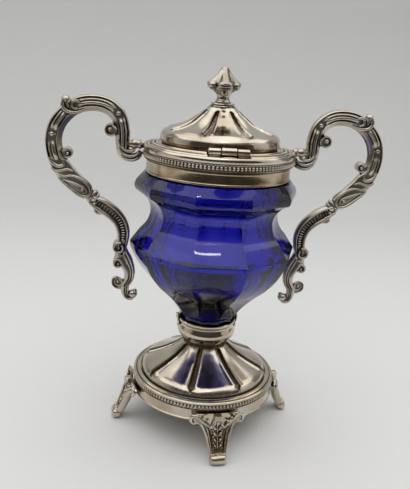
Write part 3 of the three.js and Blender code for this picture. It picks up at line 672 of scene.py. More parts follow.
# Across the foot scroll: a smooth roll on its open side, then three fine lines.
LINED = [(1.0, 0.0), (1.0, 0.50), (0.90, 0.80), (0.62, 0.90), (0.26, 0.78), (0.10, 0.48), (0.02, 0.48),
         (-0.10, 0.76), (-0.22, 0.82), (-0.34, 0.56), (-0.44, 0.54), (-0.56, 0.82), (-0.68, 0.86),
         (-0.80, 0.60), (-0.88, 0.56), (-0.96, 0.50), (-1.0, 0.0)]
# Across the thin strip of a curl.
STRIP = [(1.0, 0.0), (1.0, 0.86), (0.70, 0.97), (0.0, 1.0), (-0.70, 0.97), (-1.0, 0.86), (-1.0, 0.0)]


def upper_section(step):
    """The upper scroll's front half at a given place: reeds rise in long panels with a stud or a knot
    between them, and past the last panel the section sinks to a bed for the leaf."""
    panels = sum(ease(step, low, low + 0.35) * (1 - ease(step, high - 0.3, high))
                 for low, high in REEDED_PANELS)
    leaf = ease(step, LEAF_START, LEAF_FULL)
    half = []
    for i, (u, v) in enumerate(MOULDED):
        if i in REEDS:
            v = lerp(CHANNEL, v, panels)
        half.append((lerp(u, LEAF_BED[i][0], leaf), lerp(v, LEAF_BED[i][1], leaf)))
    return half


def scroll_body(bm, scroll, half_at):
    """Sweeps a scroll. half_at gives the front half of its section at a step."""
    def section(i):
        outline = mirrored(half_at(i / scroll.per_span))
        return [(u * scroll.widths[i], v * scroll.depths[i]) for u, v in outline]
    sweep(bm, scroll.frames(), section)


# Half the section of a curl's web, from its middle outwards: (share of its radius, share of its depth).
WEB = [(0, 0.50), (0.5, 0.48), (0.8, 0.54), (1.0, 0.66)]
# Snails at the scrolls' edges: (centre, first and last radius, first and last angle in degrees from
# outwards, half depth, pearl, half the strip's width). A pearl is (distance, height, radius).
CURLS = [
    ((49.0, 142.6), (3.2, 2.6), (110, -130), 2.3, (49.6, 143.1, 1.45), 0.38),
    ((68.1, 131.5), (2.8, 2.2), (20, 260), 2.2, (67.9, 131.4, 1.2), 0.36),
    ((44.3, 88.5), (3.2, 2.4), (110, -230), 3.15, (44.2, 88.5, 0.8), 0.55),
    ((44.5, 80.6), (2.7, 2.1), (140, -150), 2.75, (44.4, 80.4, 1.0), 0.48),
    ((44.3, 70.9), (2.4, 2.4), (150, 210), 1.6, (44.4, 71.0, 1.05), 0.42)]


def curl(bm, centre, radii, angles, half_depth, pearl, strip):
    """A thin strip that winds inwards round a pearl, on a sunk web."""
    count = 9
    places = []
    for i in range(count):
        share = i / (count - 1)
        angle, radius = math.radians(lerp(*angles, share)), lerp(*radii, share) - strip
        places.append((centre[0] + radius * math.cos(angle), centre[1] + radius * math.sin(angle), strip))
    scroll_body(bm, Scroll(places, 3, half_depth, edge=half_depth), lambda step: STRIP)
    reach = (min(radii) + max(radii)) / 2 - strip
    face = WEB + [(r, -h) for r, h in reversed(WEB)]
    join(bm, lathe([(r * reach, h * half_depth) for r, h in face], 24,
                   matrix=Matrix.Translation((centre[0] * MM, 0, centre[1] * MM))
                   @ Matrix.Rotation(math.pi / 2, 4, "X")))
    x, z, radius = pearl
    ball(bm, (x, 0, z), (radius, half_depth * 1.14, radius), u=16, v=12)


def both_faces(draw):
    """Draws ornament on the front face, and the same on the back. It passes a function that lifts
    (distance from the axis, height) off the middle plane, and the way out of the face."""
    for flip in (1, -1):
        draw(lambda x, z, lift, flip=flip: Vector((x, -flip * lift, z)), Vector((0, -flip, 0)))


def chase(bm, points, lift):
    """One line of chased ornament on both faces, through points of (distance, height, radius)."""
    both_faces(lambda at, out: rib(bm, [(*at(x, z, lift), r) for x, z, r in points], out, flat=0.9))


def stud(bm, place, radii, u=12, v=8):
    """A small boss on both faces, at a place of (distance, height, lift)."""
    both_faces(lambda at, out: ball(bm, at(*place), radii, u=u, v=v))


# Chased lines: distance from the axis, height and radius.
LEAF_LINES = [
    # The loop round the leaf, from the spur on its outer edge, round its lower end and back up.
    [(71.6, 120.0, 0.45), (69.0, 117.6, 0.70), (65.6, 114.8, 0.78), (62.4, 112.7, 0.78), (59.4, 112.4, 0.74),
     (57.7, 114.2, 0.70), (58.2, 116.6, 0.68), (60.6, 119.2, 0.66), (63.8, 121.0, 0.62), (66.8, 121.6, 0.55),
     (69.4, 121.2, 0.45), (71.0, 122.2, 0.35)],
    # The leaf's spine, wound round its pearl.
    [(70.0, 119.6, 0.30), (67.2, 118.8, 0.58), (64.6, 117.9, 0.66), (62.2, 116.9, 0.58), (60.2, 116.0, 0.50),
     (59.5, 114.7, 0.42), (60.4, 113.7, 0.38), (61.6, 114.0, 0.34)],
    # Curled tips where the reeds end.
    [(76.0, 129.6, 0.45), (74.4, 127.0, 0.78), (72.0, 125.6, 0.85), (69.8, 126.2, 0.80), (69.4, 128.0, 0.55)],
    [(75.0, 124.8, 0.40), (73.0, 123.4, 0.70), (70.6, 123.8, 0.70), (68.0, 124.4, 0.55), (65.6, 123.6, 0.35)]]
KNOT_LINES = [
    # The round end of the reeded panel.
    [(62.6, 153.6, 0.40), (63.9, 154.6, 0.55), (65.7, 153.9, 0.60), (66.1, 152.3, 0.58), (65.0, 151.1, 0.50),
     (63.6, 151.3, 0.38)],
    # The inner rim that crosses over to the knob.
    [(60.6, 150.9, 0.35), (63.8, 149.7, 0.60), (66.4, 149.5, 0.72), (68.8, 150.2, 0.80), (70.2, 152.2, 0.80),
     (69.8, 154.2, 0.70)],
    [(66.6, 154.6, 0.45), (67.8, 153.2, 0.62), (67.6, 151.6, 0.50)]]
COLLAR_FOLDS = [
    [(45.8, 138.6, 0.35), (44.6, 135.9, 0.60), (42.2, 134.0, 0.70), (39.6, 133.8, 0.62), (38.2, 134.9, 0.45)],
    [(45.4, 135.0, 0.40), (43.6, 132.6, 0.65), (40.8, 131.6, 0.72), (38.0, 132.0, 0.65), (36.4, 133.5, 0.50)],
    [(44.4, 131.8, 0.40), (41.8, 130.0, 0.60), (39.0, 129.8, 0.62), (36.8, 131.0, 0.50)]]
# Lobes of the knot where the two large scrolls meet: distance, height, radii and lean in radians.
KNOT_LOBES = [
    (56.8, 111.9, (3.3, 2.2, 3.1), 0.0), (56.1, 114.0, (1.9, 2.6, 1.0), 0.5),
    (57.9, 110.9, (0.95, 2.8, 1.9), -0.5), (54.7, 112.2, (0.95, 2.7, 1.9), -0.4),
    (56.0, 108.9, (1.7, 2.4, 1.1), 0.3), (53.4, 110.9, (1.5, 2.6, 0.8), 0.7)]
KNOT_HOOK = [(49.8, 103.4, 0.5), (52.2, 104.6, 0.55), (54.4, 104.6, 0.6), (55.5, 105.8, 0.6),
             (54.6, 107.0, 0.55), (53.2, 106.6, 0.5)]
# The steps of the studs between the reeded panels.
STUD_STEPS = (6.1, 11.6)
# Bosses between the two curls, and at the tail's tip: distance, height and radii.
SMALL_BOSSES = [
    (43.8, 84.6, (2.4, 2.3, 1.2)), (44.9, 83.2, (1.5, 2.4, 1.3)), (41.6, 86.2, (1.5, 2.4, 1.3)),
    (37.1, 64.8, (2.3, 2.2, 2.1)), (36.2, 66.2, (1.2, 1.8, 1.1))]
# The baluster that joins the handle to the rim: (radius, distance from the axis).
RIM_STUB = [(0, 34.7), (1.5, 34.7), (1.7, 35.3), (2.3, 36.1), (1.7, 36.9), (2.0, 37.6), (2.3, 38.6),
            (2.0, 39.6), (1.5, 40.2), (1.8, 41.0), (1.8, 43.4), (0, 43.4)]
STUB_HEIGHT = 137.0
# The steps of the first and last tick and how many there are, and where they stand in the channel, as
# shares of the scroll's half-width and depth.
FIRST_TICK, LAST_TICK, TICKS = 0.6, 4.8, 18
TICK_ACROSS, TICK_OUT = -0.01, 0.48


def ornament_handle(bm, upper):
    """Studs, leaf, knots and folds on the upper scroll, and the knot and hook below it."""
    for step in STUD_STEPS:
        boss, edges = upper.at(step, 0.22, 0.62), [upper.at(step, across, 0.55) for across in (0.62, -0.2)]
        stud(bm, (boss.x, boss.z, -boss.y), (1.02, 0.95, 1.02), 14, 10)
        chase(bm, [(edge.x, edge.z, 0.30) for edge in edges], -edges[0].y)
    for lines, lift in ((LEAF_LINES, 1.95), (KNOT_LINES, 2.15), (COLLAR_FOLDS, 1.75)):
        for line in lines:
            chase(bm, line, lift)
    # The pearl that the leaf winds round, and two spurs on its outer edge.
    stud(bm, (61.3, 115.3, 2.0), (0.90, 0.95, 0.90))
    for x, z, size in ((71.8, 120.2, 0.85), (74.6, 124.2, 0.75)):
        ball(bm, (x, 0, z), (size, 1.5, size), u=10)
    # The knob on the outer rim.
    ball(bm, (68.9, 0, 154.7), (1.9, 2.3, 1.9), u=18, v=12)
    stud(bm, (69.2, 155.0, 1.9), (0.75, 0.8, 0.75), 10)
    for x, z, radii, lean in KNOT_LOBES:
        ball(bm, (x, 0, z), radii, Matrix.Rotation(lean, 4, "Y"), 14, 10)
    scroll_body(bm, Scroll(KNOT_HOOK, 3, 2.3, edge=2.0), lambda step: STRIP)


def ticks(bm, scroll):
    """Short bars set side by side in the lower scroll's channel."""
    for i in range(TICKS):
        step = lerp(FIRST_TICK, LAST_TICK, i / (TICKS - 1))
        centre, ahead = (scroll.at(s, TICK_ACROSS, TICK_OUT) for s in (step, step + 0.02))
        along = (ahead - centre).normalized()
        along.y = 0
        size = scroll.widths[min(round(step * scroll.per_span), len(scroll.widths) - 1)]
        turn = Matrix((along, FRONT, along.cross(FRONT))).transposed().to_4x4()
        both_faces(lambda at, out: ball(bm, at(centre.x, centre.z, -centre.y), (0.41, 0.80, 0.41 * size),
                                        turn, 8, 6))


def build_handles(settings):
    """One handle of scrolls, made for the right side and turned half round for the left."""
    bm = new_bmesh()
    upper = Scroll(UPPER_SCROLL, 7, SCROLL_DEPTH)
    lower = Scroll(LOWER_SCROLL, 7, SCROLL_DEPTH)
    scroll_body(bm, upper, upper_section)
    scroll_body(bm, lower, lambda step: CHANNELLED)
    scroll_body(bm, Scroll(FOOT_SCROLL, 6, FOOT_DEPTH), lambda step: LINED)
    scroll_body(bm, Scroll(TAIL_SCROLL, 6, TAIL_DEPTH), lambda step: LINED)
    ornament_handle(bm, upper)
    ticks(bm, lower)
    for snail in CURLS:
        curl(bm, *snail)
    for x, z, radii in SMALL_BOSSES:
        ball(bm, (x, 0, z), radii, u=14, v=10)
    join(bm, lathe(RIM_STUB, 20, matrix=Matrix.Translation((0, 0, STUB_HEIGHT * MM))
                   @ Matrix.Rotation(math.pi / 2, 4, "Y")))
    left = bm.copy()
    bmesh.ops.rotate(left, verts=left.verts, cent=(0, 0, 0), matrix=Matrix.Rotation(math.pi, 3, "Z"))
    for side, half in (("right", bm), ("left", left)):
        make_piece(f"scroll_handle_{side}", half, BOWL,
                   finish_named("unpolished_cast_silver", settings), [f"handle_{side}"], crisp=60)


# Cup and foot

# Degrees that the foot is turned on its rod.
FOOT_TURN = 5.0
# One of the cup's leaves, from its root up: (distance from the axis, height, half-width).
CUP_LEAF = [(14.1, 48.6, 1.2), (13.9, 50.2, 2.1), (14.1, 51.9, 2.6), (14.5, 53.4, 2.6), (14.6, 54.6, 2.0),
            (14.7, 55.4, 0.6)]


def turn_about_axis(bm, degrees=FOOT_TURN):
    """Turns a mesh about the bowl's axis, as far as the foot is turned unless told otherwise."""
    bmesh.ops.rotate(bm, verts=bm.verts, cent=(0, 0, 0),
                     matrix=Matrix.Rotation(math.radians(degrees), 3, "Z"))


def build_cup(settings):
    """The cup that holds the glass body's peg, with a small leaf on each side."""
    outer = [(8.8, 42.03), (9.8, 42.1), (10.1, 42.5), (9.9, 42.9), (10.9, 43.4), (12.5, 44.4), (13.9, 46.0),
             (14.35, 47.7), (14.1, 49.3), (13.5, 50.4), (13.2, 51.1), (13.3, 51.8), (13.9, 52.4),
             (14.3, 53.1), (14.25, 53.7), (13.9, 54.0)]
    socket = [(13.65, 53.9), (13.5, 53.2), (12.2, 51.6), (12.2, 47.4), (2.0, 47.4)]
    bm = lathe([(2.0, 42.03)] + outer + socket, 96, closed=True)
    leaf = through(CUP_LEAF, 5)
    for side in (1, -1):
        centres = [Vector((side * p[0], 0, p[1])) for p in leaf]
        frames = [station(c, t, Vector((side, 0, 0))) for c, t in zip(centres, tangents(centres))]
        lobes = [1 + 0.12 * math.cos(TURN * i / 6.5) for i in range(len(leaf))]

        def section(i):
            width = leaf[i][2] * lobes[i]
            edge = [(1.0, 0.0), (0.72, 0.52), (0.5, 0.30), (0.22, 0.42), (0, 0.85), (-0.22, 0.42),
                    (-0.5, 0.30), (-0.72, 0.52), (-1.0, 0.0), (0, -0.5)]
            return [(u * width, v) for u, v in edge]
        sweep(bm, frames, section)
    make_piece("leaf_cup", bm, BOWL, finish_named("polished_silver_plate", settings),
               ["stem_cup"])


# Columns of a flute from its middle outwards: (share of its half-width, lift), lift -1 for the floor
# and 1 for the top of its raised edge.
FLUTE_COLUMNS = [(0.0, -1.0), (0.30, -1.0), (0.58, -0.92), (0.76, -0.45), (0.90, 0.45), (1.02, 1.0),
                 (1.16, 0.65), (1.36, 0.0)]
# Columns of half a panel, as shares of the way from a flute to the panel's middle.
PANEL_COLUMNS = [0.25, 0.5, 0.75]
# Shares of a flute's length over which its two ends are rounded, and the least share of its width there.
TOP_ROUNDING, END_ROUNDING, LEAST_WIDTH = 0.05, 0.09, 0.25
# Shares of its length between which it rises at its top and falls at its end.
RISE, FALL = (-0.03, 0.05), (0.97, 1.05)
# The way in which the sheet's inner side follows the flutes: outwards, up.
INNER_WAY = Vector((0.35, 0.94))


def lift_way(profile, row, outer_rows):
    """The way in which the flutes lift a row of the sheet: outwards, up."""
    if row >= outer_rows:
        return INNER_WAY
    before, after = profile[max(row - 1, 0)], profile[min(row + 1, outer_rows - 1)]
    return Vector((before[1] - after[1], after[0] - before[0])).normalized()


def fluted(outer, inner, flute, flutes):
    """A new mesh: a sheet dome spun from its outer and inner outlines, with narrow flutes pressed in."""
    half = [("flute", s, l) for s, l in FLUTE_COLUMNS] + [("panel", s, 0.0) for s in PANEL_COLUMNS]
    sector = [("panel", -1.0, 0.0)] + [(k, -s, l) for k, s, l in reversed(half[1:])] + half
    columns = len(sector) * flutes
    half_angle = math.pi / flutes
    profile = outer + inner
    bm = lathe(profile, columns, closed=True)
    place = bm.verts.layers.int["place"]
    for vert in bm.verts:
        row = vert[place]
        radius, height = profile[row]
        column = round(math.atan2(vert.co.y, vert.co.x) / TURN * columns) % columns
        kind, share, lift = sector[column % len(sector)]
        along = (radius - flute["start"]) / (flute["end"] - flute["start"])

        # Where the column stands: the flute widens towards its end and is rounded at both ends.
        rounding = clamp(min(along / TOP_ROUNDING, (1.0 - along) / END_ROUNDING))
        width = lerp(flute["top_width"], flute["end_width"], clamp(along))
        width *= max(math.sqrt(1 - (1 - rounding) ** 2), LEAST_WIDTH)
        edge = min(width / 2 / max(radius, 0.1), half_angle * 0.5)
        away = share * edge
        if kind == "panel":
            away = math.copysign(lerp(FLUTE_COLUMNS[-1][0] * edge, half_angle, abs(share)), share)
        angle = (column // len(sector) + 0.5) * 2 * half_angle + away

        # How far it is pressed in or lifted.
        amount = (flute["depth"] if lift < 0 else flute["edge"]) * lift
        if kind == "panel":
            amount = flute["bulge"] * math.sin(math.pi / 2 * abs(share))
        amount *= ease(along, *RISE) * (1 - ease(along, *FALL))
        way = lift_way(profile, row, len(outer))
        radius += way.x * amount
        height += way.y * amount
        vert.co = Vector((radius * math.cos(angle), radius * math.sin(angle), height)) * MM
    return bm


def build_foot(settings):
    """The fluted dome of the foot."""
    slope = [(9.4, 41.9), (9.9, 41.3), (11.2, 40.3), (13.3, 38.4), (16.8, 35.8), (21.6, 33.1), (26.0, 31.1),
             (28.8, 29.8), (30.5, 28.3), (31.2, 26.6), (31.3, 24.4)]
    outer = [tuple(p) for p in through(slope, 6)]
    inner = [(30.4, 24.3), (30.2, 26.4), (28.2, 28.8), (25.6, 30.2), (21.0, 32.2), (16.4, 34.8),
             (13.4, 36.9), (10.4, 39.7), (2.1, 39.7), (2.1, 41.9)]
    flute = {"start": 10.6, "end": 30.2, "top_width": 2.4, "end_width": 3.5, "depth": 1.2, "edge": 0.45,
             "bulge": 0.3}
    bm = fluted(outer, inner, flute, settings.flutes)
    turn_about_axis(bm)
    make_piece("fluted_foot", bm, BOWL, finish_named("fluted_silver_plate", settings),
               ["foot_dome"], crisp=50)


def build_base(settings):
    """The base's moulded ring, its row of beads and its plain skirt."""
    silver = finish_named("polished_silver_plate", settings)
    bm = lathe([(31.6, 24.6), (35.1, 24.7), (35.2, 25.1), (35.1, 25.6), (34.6, 25.95), (34.1, 25.8),
                (33.9, 25.4), (33.7, 25.35), (33.5, 25.9), (33.0, 26.2), (32.2, 26.3), (31.6, 26.2)],
               RING_STEPS, closed=True)
    soften(bm, 0.08, over=45)
    turn_about_axis(bm)
    make_piece("base_moulding", bm, BOWL, silver, ["base_ring"])

    bm = lathe([(34.0, 22.3), (34.8, 22.3), (34.95, 22.45), (34.5, 22.65), (34.1, 23.4), (34.5, 24.25),
                (34.95, 24.45), (34.8, 24.6), (34.0, 24.6)], RING_STEPS, closed=True)
    count = round(TURN * 34.7 * MM / settings.bead_pitch)
    join(bm, bead_row(34.6, 23.5, (0.82, 0.74, 0.92), count))
    turn_about_axis(bm)
    make_piece("base_beads", bm, BOWL, finish_named("beaded_silver", settings),
               ["base_bead_ring"])

    bm = lathe([(33.2, 16.4), (34.9, 16.4), (35.2, 16.7), (35.2, 17.2), (34.95, 17.5), (34.9, 21.9),
                (35.15, 22.1), (34.1, 22.2), (34.1, 24.5), (33.2, 24.5)], RING_STEPS, closed=True)
    soften(bm, 0.1, over=45)
    turn_about_axis(bm)
    make_piece("base_skirt", bm, BOWL, silver, ["base_band"])


# Legs

# How far out the toe's middle stands, the skirt's radius that the bracket follows, and the toe's height.
LEG_REACH, SKIRT, TOE_HEIGHT = 43.5, 35.2, 2.3
# Down the leg: distance from the axis, height, half-width and half-thickness.
LEG_STATIONS = [
    (36.8, 21.6, 8.2, 0.7), (36.9, 21.1, 10.8, 1.0), (37.0, 20.2, 12.1, 1.2), (37.1, 19.2, 12.6, 1.3),
    (37.1, 18.3, 12.3, 1.4), (37.2, 17.6, 10.9, 1.5), (37.3, 16.8, 9.0, 1.6), (37.6, 15.4, 7.5, 1.7),
    (38.1, 13.4, 6.5, 1.8), (38.9, 10.8, 5.6, 1.8), (40.0, 8.0, 4.9, 1.8), (41.0, 5.4, 4.3, 1.8),
    (42.0, 3.6, 3.9, 1.6)]
# Half the leg's section: a raised edge round a sunk panel.
LEG_SECTION = [(1.0, -0.1), (1.0, 0.5), (0.96, 0.9), (0.87, 1.1), (0.75, 1.08), (0.66, 0.84), (0.60, 0.36),
               (0.54, 0.02), (0.40, -0.06), (0.2, -0.08), (0.1, -0.07), (0, -0.06)]
# Ribs on each half of the leg: distance from its middle, height, lift over the panel and radius.
LEG_RIBS = [
    # The volute at the bracket's end, and the ribbon from it down to the block.
    [(9.6, 17.6, 0.9, 0.35), (11.2, 17.2, 1.1, 0.6), (12.3, 18.4, 1.2, 0.75), (12.1, 20.0, 1.2, 0.8),
     (10.9, 20.9, 1.2, 0.8), (9.6, 20.5, 1.3, 0.7), (7.6, 19.0, 1.3, 0.6), (5.6, 17.2, 1.3, 0.5),
     (4.2, 16.4, 1.3, 0.35)],
    # The vein between them.
    [(9.4, 19.0, 1.0, 0.5), (7.6, 17.8, 1.0, 0.45), (6.2, 16.4, 1.0, 0.35)],
    # The scallop under the block.
    [(5.0, 17.4, 1.0, 0.3), (3.7, 15.9, 1.2, 0.45), (2.6, 16.0, 1.3, 0.5), (1.6, 17.9, 1.4, 0.4)]]
# Pearls in the bracket: distance, height and radius.
LEG_PEARLS = [(10.6, 18.9, 0.95), (4.6, 18.6, 0.7), (6.6, 19.9, 0.6)]
# The leaf's lobes beside its vein: height and size. The vein: height and radius.
LEAF_LOBES = [(15.0, 0.95), (12.4, 0.95), (9.8, 0.8), (7.6, 0.65)]
LEAF_VEIN = [(17.6, 0.3), (14.0, 0.35), (9.0, 0.3), (6.4, 0.2)]
LEG_OUT = Vector((0, -1, 0.1))


def leg_relief(bm, places):
    """The bracket's volutes and pearls, the leaf down the panel, and the block under the skirt."""
    def on_panel(across, height, lift):
        """A place over the leg's sunk panel: across in mm."""
        nearest = min(places, key=lambda p: abs(p[1] - height))
        return (across, -(nearest[0] + lift + 0.2 * nearest[3]), height)

    for side in (-1, 1):
        for line in LEG_RIBS:
            rib(bm, [(*on_panel(side * x, z, lift), r) for x, z, lift, r in line], LEG_OUT, sides=10)
        for x, z, size in LEG_PEARLS:
            ball(bm, on_panel(side * x, z, 0.9), (size, 0.8, size * 0.8), u=10)
        lean = Matrix.Rotation(side * 0.6, 4, "Y")
        for z, size in LEAF_LOBES:
            ball(bm, on_panel(side * 1.2, z, 0.35), (0.72 * size, 0.8, 1.35 * size), lean, 12, 8)
            ball(bm, on_panel(side * 2.0, z - 1.1, 0.3), (0.5 * size, 0.6, 0.55 * size), u=8, v=6)
    rib(bm, [(*on_panel(0, z, 0.1), r) for z, r in LEAF_VEIN], LEG_OUT)
    block = box(bm, (-1.75, -39.6, 18.6), (1.75, -36.6, 21.4))
    bevel(bm, list(dict.fromkeys(e for v in block for e in v.link_edges)), 0.35)
    for z in (19.3, 20.7):
        rib(bm, [(x, -39.55, z, 0.38) for x in (-1.3, 0, 1.3)], LEG_OUT)


def bend_bracket(bm):
    """Bends the upper part of the leg round the skirt."""
    for vert in bm.verts:
        x = min(abs(vert.co.x), 14 * MM)
        bend = SKIRT * MM - math.sqrt((SKIRT * MM) ** 2 - x * x)
        vert.co.y += bend * ease(vert.co.z, 12 * MM, 17 * MM)


def rolled_toe(bm):
    """The roll that the leg stands on, with a scalloped cuff, cut off flat at the floor."""
    half = [(0, 4.0), (1.0, 3.95), (1.8, 3.6), (2.25, 2.9), (2.5, 1.6)]
    toe = [(radius, -across) for radius, across in half] + half[::-1]
    join(bm, lathe(toe, 28, matrix=Matrix.Translation((0, -LEG_REACH * MM, TOE_HEIGHT * MM))
                   @ Matrix.Rotation(math.pi / 2, 4, "Y")))
    for across, height in ((-2.4, 4.6), (0, 4.25), (2.4, 4.6)):
        ball(bm, (across, -LEG_REACH + 0.2, height), (1.35, 1.2, 0.7), Matrix.Rotation(-0.5, 4, "X"), 14, 10)
    below = bmesh.ops.bisect_plane(bm, geom=bm.verts[:] + bm.edges[:] + bm.faces[:], plane_co=(0, 0, 0),
                                   plane_no=(0, 0, -1), clear_outer=True)
    rim = [g for g in below["geom_cut"] if isinstance(g, bmesh.types.BMEdge)]
    bmesh.ops.contextual_create(bm, geom=rim)


def leg_mesh():
    """One splayed leg on the front side, from its wide bracket on the skirt down to its rolled toe."""
    bm = new_bmesh()
    places = through(LEG_STATIONS, 4)
    centres = [Vector((0, -p[0], p[1])) for p in places]
    frames = [station(c, t, Vector((0, -1, 0.2))) for c, t in zip(centres, tangents(centres))]
    outline = LEG_SECTION + [(-u, v) for u, v in reversed(LEG_SECTION[:-1])]
    outline += [(-0.8, -0.9), (0, -1.0), (0.8, -0.9)]
    sweep(bm, frames, lambda i: [(u * places[i][2], v * places[i][3]) for u, v in outline])
    leg_relief(bm, places)
    bend_bracket(bm)
    rolled_toe(bm)
    return bm


def build_legs(settings):
    """Four legs, a quarter turn apart."""
    model = leg_mesh()
    relief = finish_named("cast_silver_relief", settings)
    for i, side in enumerate(("front", "right", "back", "left")):
        bm = model.copy()
        turn_about_axis(bm, FOOT_TURN + 90 * i)
        make_piece(f"leg_{side}", bm, BOWL, relief, [f"foot_{side}"], crisp=55)
    model.free()


# Lid

def build_lid(settings):
    """The fluted lid and the bezel under it that drops into the collar."""
    slope = [(6.1, 155.6), (6.6, 155.2), (7.4, 154.4), (9.2, 152.7), (11.3, 151.2), (15.4, 148.3),
             (20.7, 146.1), (24.2, 145.1), (26.2, 144.1), (27.2, 142.6), (27.4, 141.2), (27.4, 140.4)]
    outer = [tuple(p) for p in through(slope, 5)]
    inner = [(27.0, 140.3), (26.5, 140.5), (26.5, 141.8), (24.5, 143.9), (20.3, 145.0), (14.9, 147.4),
             (10.8, 150.2), (6.8, 153.9), (1.5, 154.7), (1.5, 155.6)]
    flute = {"start": 7.6, "end": 24.4, "top_width": 1.9, "end_width": 4.8, "depth": 1.05, "edge": 0.36,
             "bulge": 0.2}
    bm = fluted(outer, inner, flute, settings.flutes)
    # The lid's finish has real stains and a painted reflection of the dark camera side on its front panel.
    make_piece("fluted_lid", bm, LID, finish_named("stained_and_reflecting_silver_lid", settings),
               ["lid_dome"], crisp=50)

    # The bezel's brown film is painted shade, for the shadow under the dome's lip.
    bm = lathe([(23.45, 135.6), (24.2, 135.6), (24.45, 135.9), (24.45, 138.45), (26.1, 138.45),
                (26.35, 138.7), (26.35, 141.3), (23.45, 139.3)], 128, closed=True)
    make_piece("lid_bezel_ring", bm, LID, finish_named("tarnished_and_shaded_silver_band", settings),
               ["lid_bezel"])


# The height of the bud's foot.
BUD_BASE = 157.6
# Up the bud: (height, radius in the valleys, radius along the petals).
BUD = [(0.0, 3.6, 3.6), (0.4, 3.5, 3.5), (1.0, 3.0, 3.0), (1.8, 2.75, 2.75), (2.7, 2.75, 2.85),
       (3.6, 3.1, 3.4), (4.6, 3.6, 4.5), (5.6, 4.1, 5.9), (6.6, 4.4, 6.95), (7.4, 4.5, 7.5), (8.0, 4.4, 7.7),
       (8.6, 4.2, 7.4), (9.3, 3.9, 6.5), (10.1, 3.5, 5.4), (11.0, 3.1, 4.4), (12.0, 2.6, 3.4),
       (13.0, 2.1, 2.7), (13.9, 1.75, 2.1), (14.6, 1.55, 1.7), (15.1, 1.3, 1.35), (15.5, 0.8, 0.8),
       (15.7, 0.0, 0.0)]
# The stud under the bud: (height, radius).
BUD_STUD = [(-6.6, 0), (-6.6, 1.2), (0.0, 1.2)]
PETALS = 4
# Over 1, the petals are narrower than the valleys between them.
PETAL_SHARPNESS = 1.25


def build_finial(settings):
    """A four-petalled bud on a turned collar."""
    silver = finish_named("polished_silver_plate", settings)
    bm = lathe([(1.4, 155.68), (5.3, 155.68), (5.62, 155.80), (5.7, 156.0), (5.6, 156.2), (5.2, 156.32),
                (5.0, 156.45), (5.15, 156.55), (5.42, 156.7), (5.52, 156.95), (5.42, 157.2), (5.05, 157.38),
                (4.4, 157.48), (3.4, 157.52), (1.4, 157.52)], 72, closed=True)
    make_piece("bud_collar", bm, LID, silver, ["finial_collar"])

    bud = [tuple(p) for p in through(BUD, 2)]
    profile = BUD_STUD + [(height, valley) for height, valley, _ in bud]
    bm = lathe([(radius, BUD_BASE + height) for height, radius in profile], 72)
    place = bm.verts.layers.int["place"]
    for vert in bm.verts:
        row = vert[place] - len(BUD_STUD)
        if row >= 0 and bud[row][1] > 0.01:
            _, valley, ridge = bud[row]
            around = math.atan2(vert.co.y, vert.co.x)
            swell = ((1 + math.cos(PETALS * around)) / 2) ** PETAL_SHARPNESS
            grow = lerp(1.0, ridge / valley, swell)
            vert.co.x *= grow
            vert.co.y *= grow
    # A low boss on each petal.
    for i in range(PETALS):
        around = Matrix.Rotation(TURN / PETALS * i, 4, "Z")
        ball(bm, around @ Vector((4.9, 0, BUD_BASE + 7.3)), (2.6, 3.5, 2.2), around, 24, 16)
    make_piece("bud_finial", bm, LID, finish_named("darkened_cast_silver", settings),
               ["finial"], crisp=60)


# Hidden fittings and stage

def dress_fittings(settings):
    """The bedding, rod, washer and nuts keep their own solids and take a finish."""
    finishes = {
        "casting_plaster": ("neck_bedding", "cup_bedding"),
        "turned_brass": ("foot_stud", "foot_nut", "finial_nut"),
        "sole_leather": ("foot_washer",),
    }
    for finish, nodes in finishes.items():
        for node in nodes:
            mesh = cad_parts[node].data
            mesh.materials.clear()
            mesh.materials.append(finish_named(finish, settings))


# The camera fitted to the photograph: the height on the axis that it looks at and its distance in mm,
# where it stands in degrees, and then how far it is turned about its own axes.
CAMERA = {"target": 88.0, "azimuth": -8.085, "elevation": 17.294, "distance": 284.02, "pan": -0.698,
          "tilt": -0.522, "roll": -4.283}
# The width of the camera's sensor, in mm.
SENSOR = 36.0
# The photograph's height and the fitted focal length, in its pixels.
PHOTO_HEIGHT = 489
FOCAL_PIXELS = 589.5


def place_camera(settings):
    """Sets up the camera at the photograph's viewing angle."""
    azimuth, elevation = math.radians(CAMERA["azimuth"]), math.radians(CAMERA["elevation"])
    back = Vector((math.sin(azimuth) * math.cos(elevation), -math.cos(azimuth) * math.cos(elevation),
                   math.sin(elevation)))
    right = Vector((0, 0, 1)).cross(back).normalized()
    towards = Matrix((right, back.cross(right), back))
    for part, axis in (("pan", "Y"), ("tilt", "X"), ("roll", "Z")):
        towards = Matrix.Rotation(math.radians(CAMERA[part]), 3, axis) @ towards
    data = bpy.data.cameras.new("camera")
    data.sensor_width = SENSOR
    data.lens = settings.lens
    data.clip_start, data.clip_end = 0.01, 10
    camera = bpy.data.objects.new("camera", data)
    camera.matrix_world = towards.transposed().to_4x4()
    camera.location = (Vector((0, 0, CAMERA["target"])) + back * CAMERA["distance"]) * MM
    bpy.context.scene.collection.objects.link(camera)
    bpy.context.scene.camera = camera


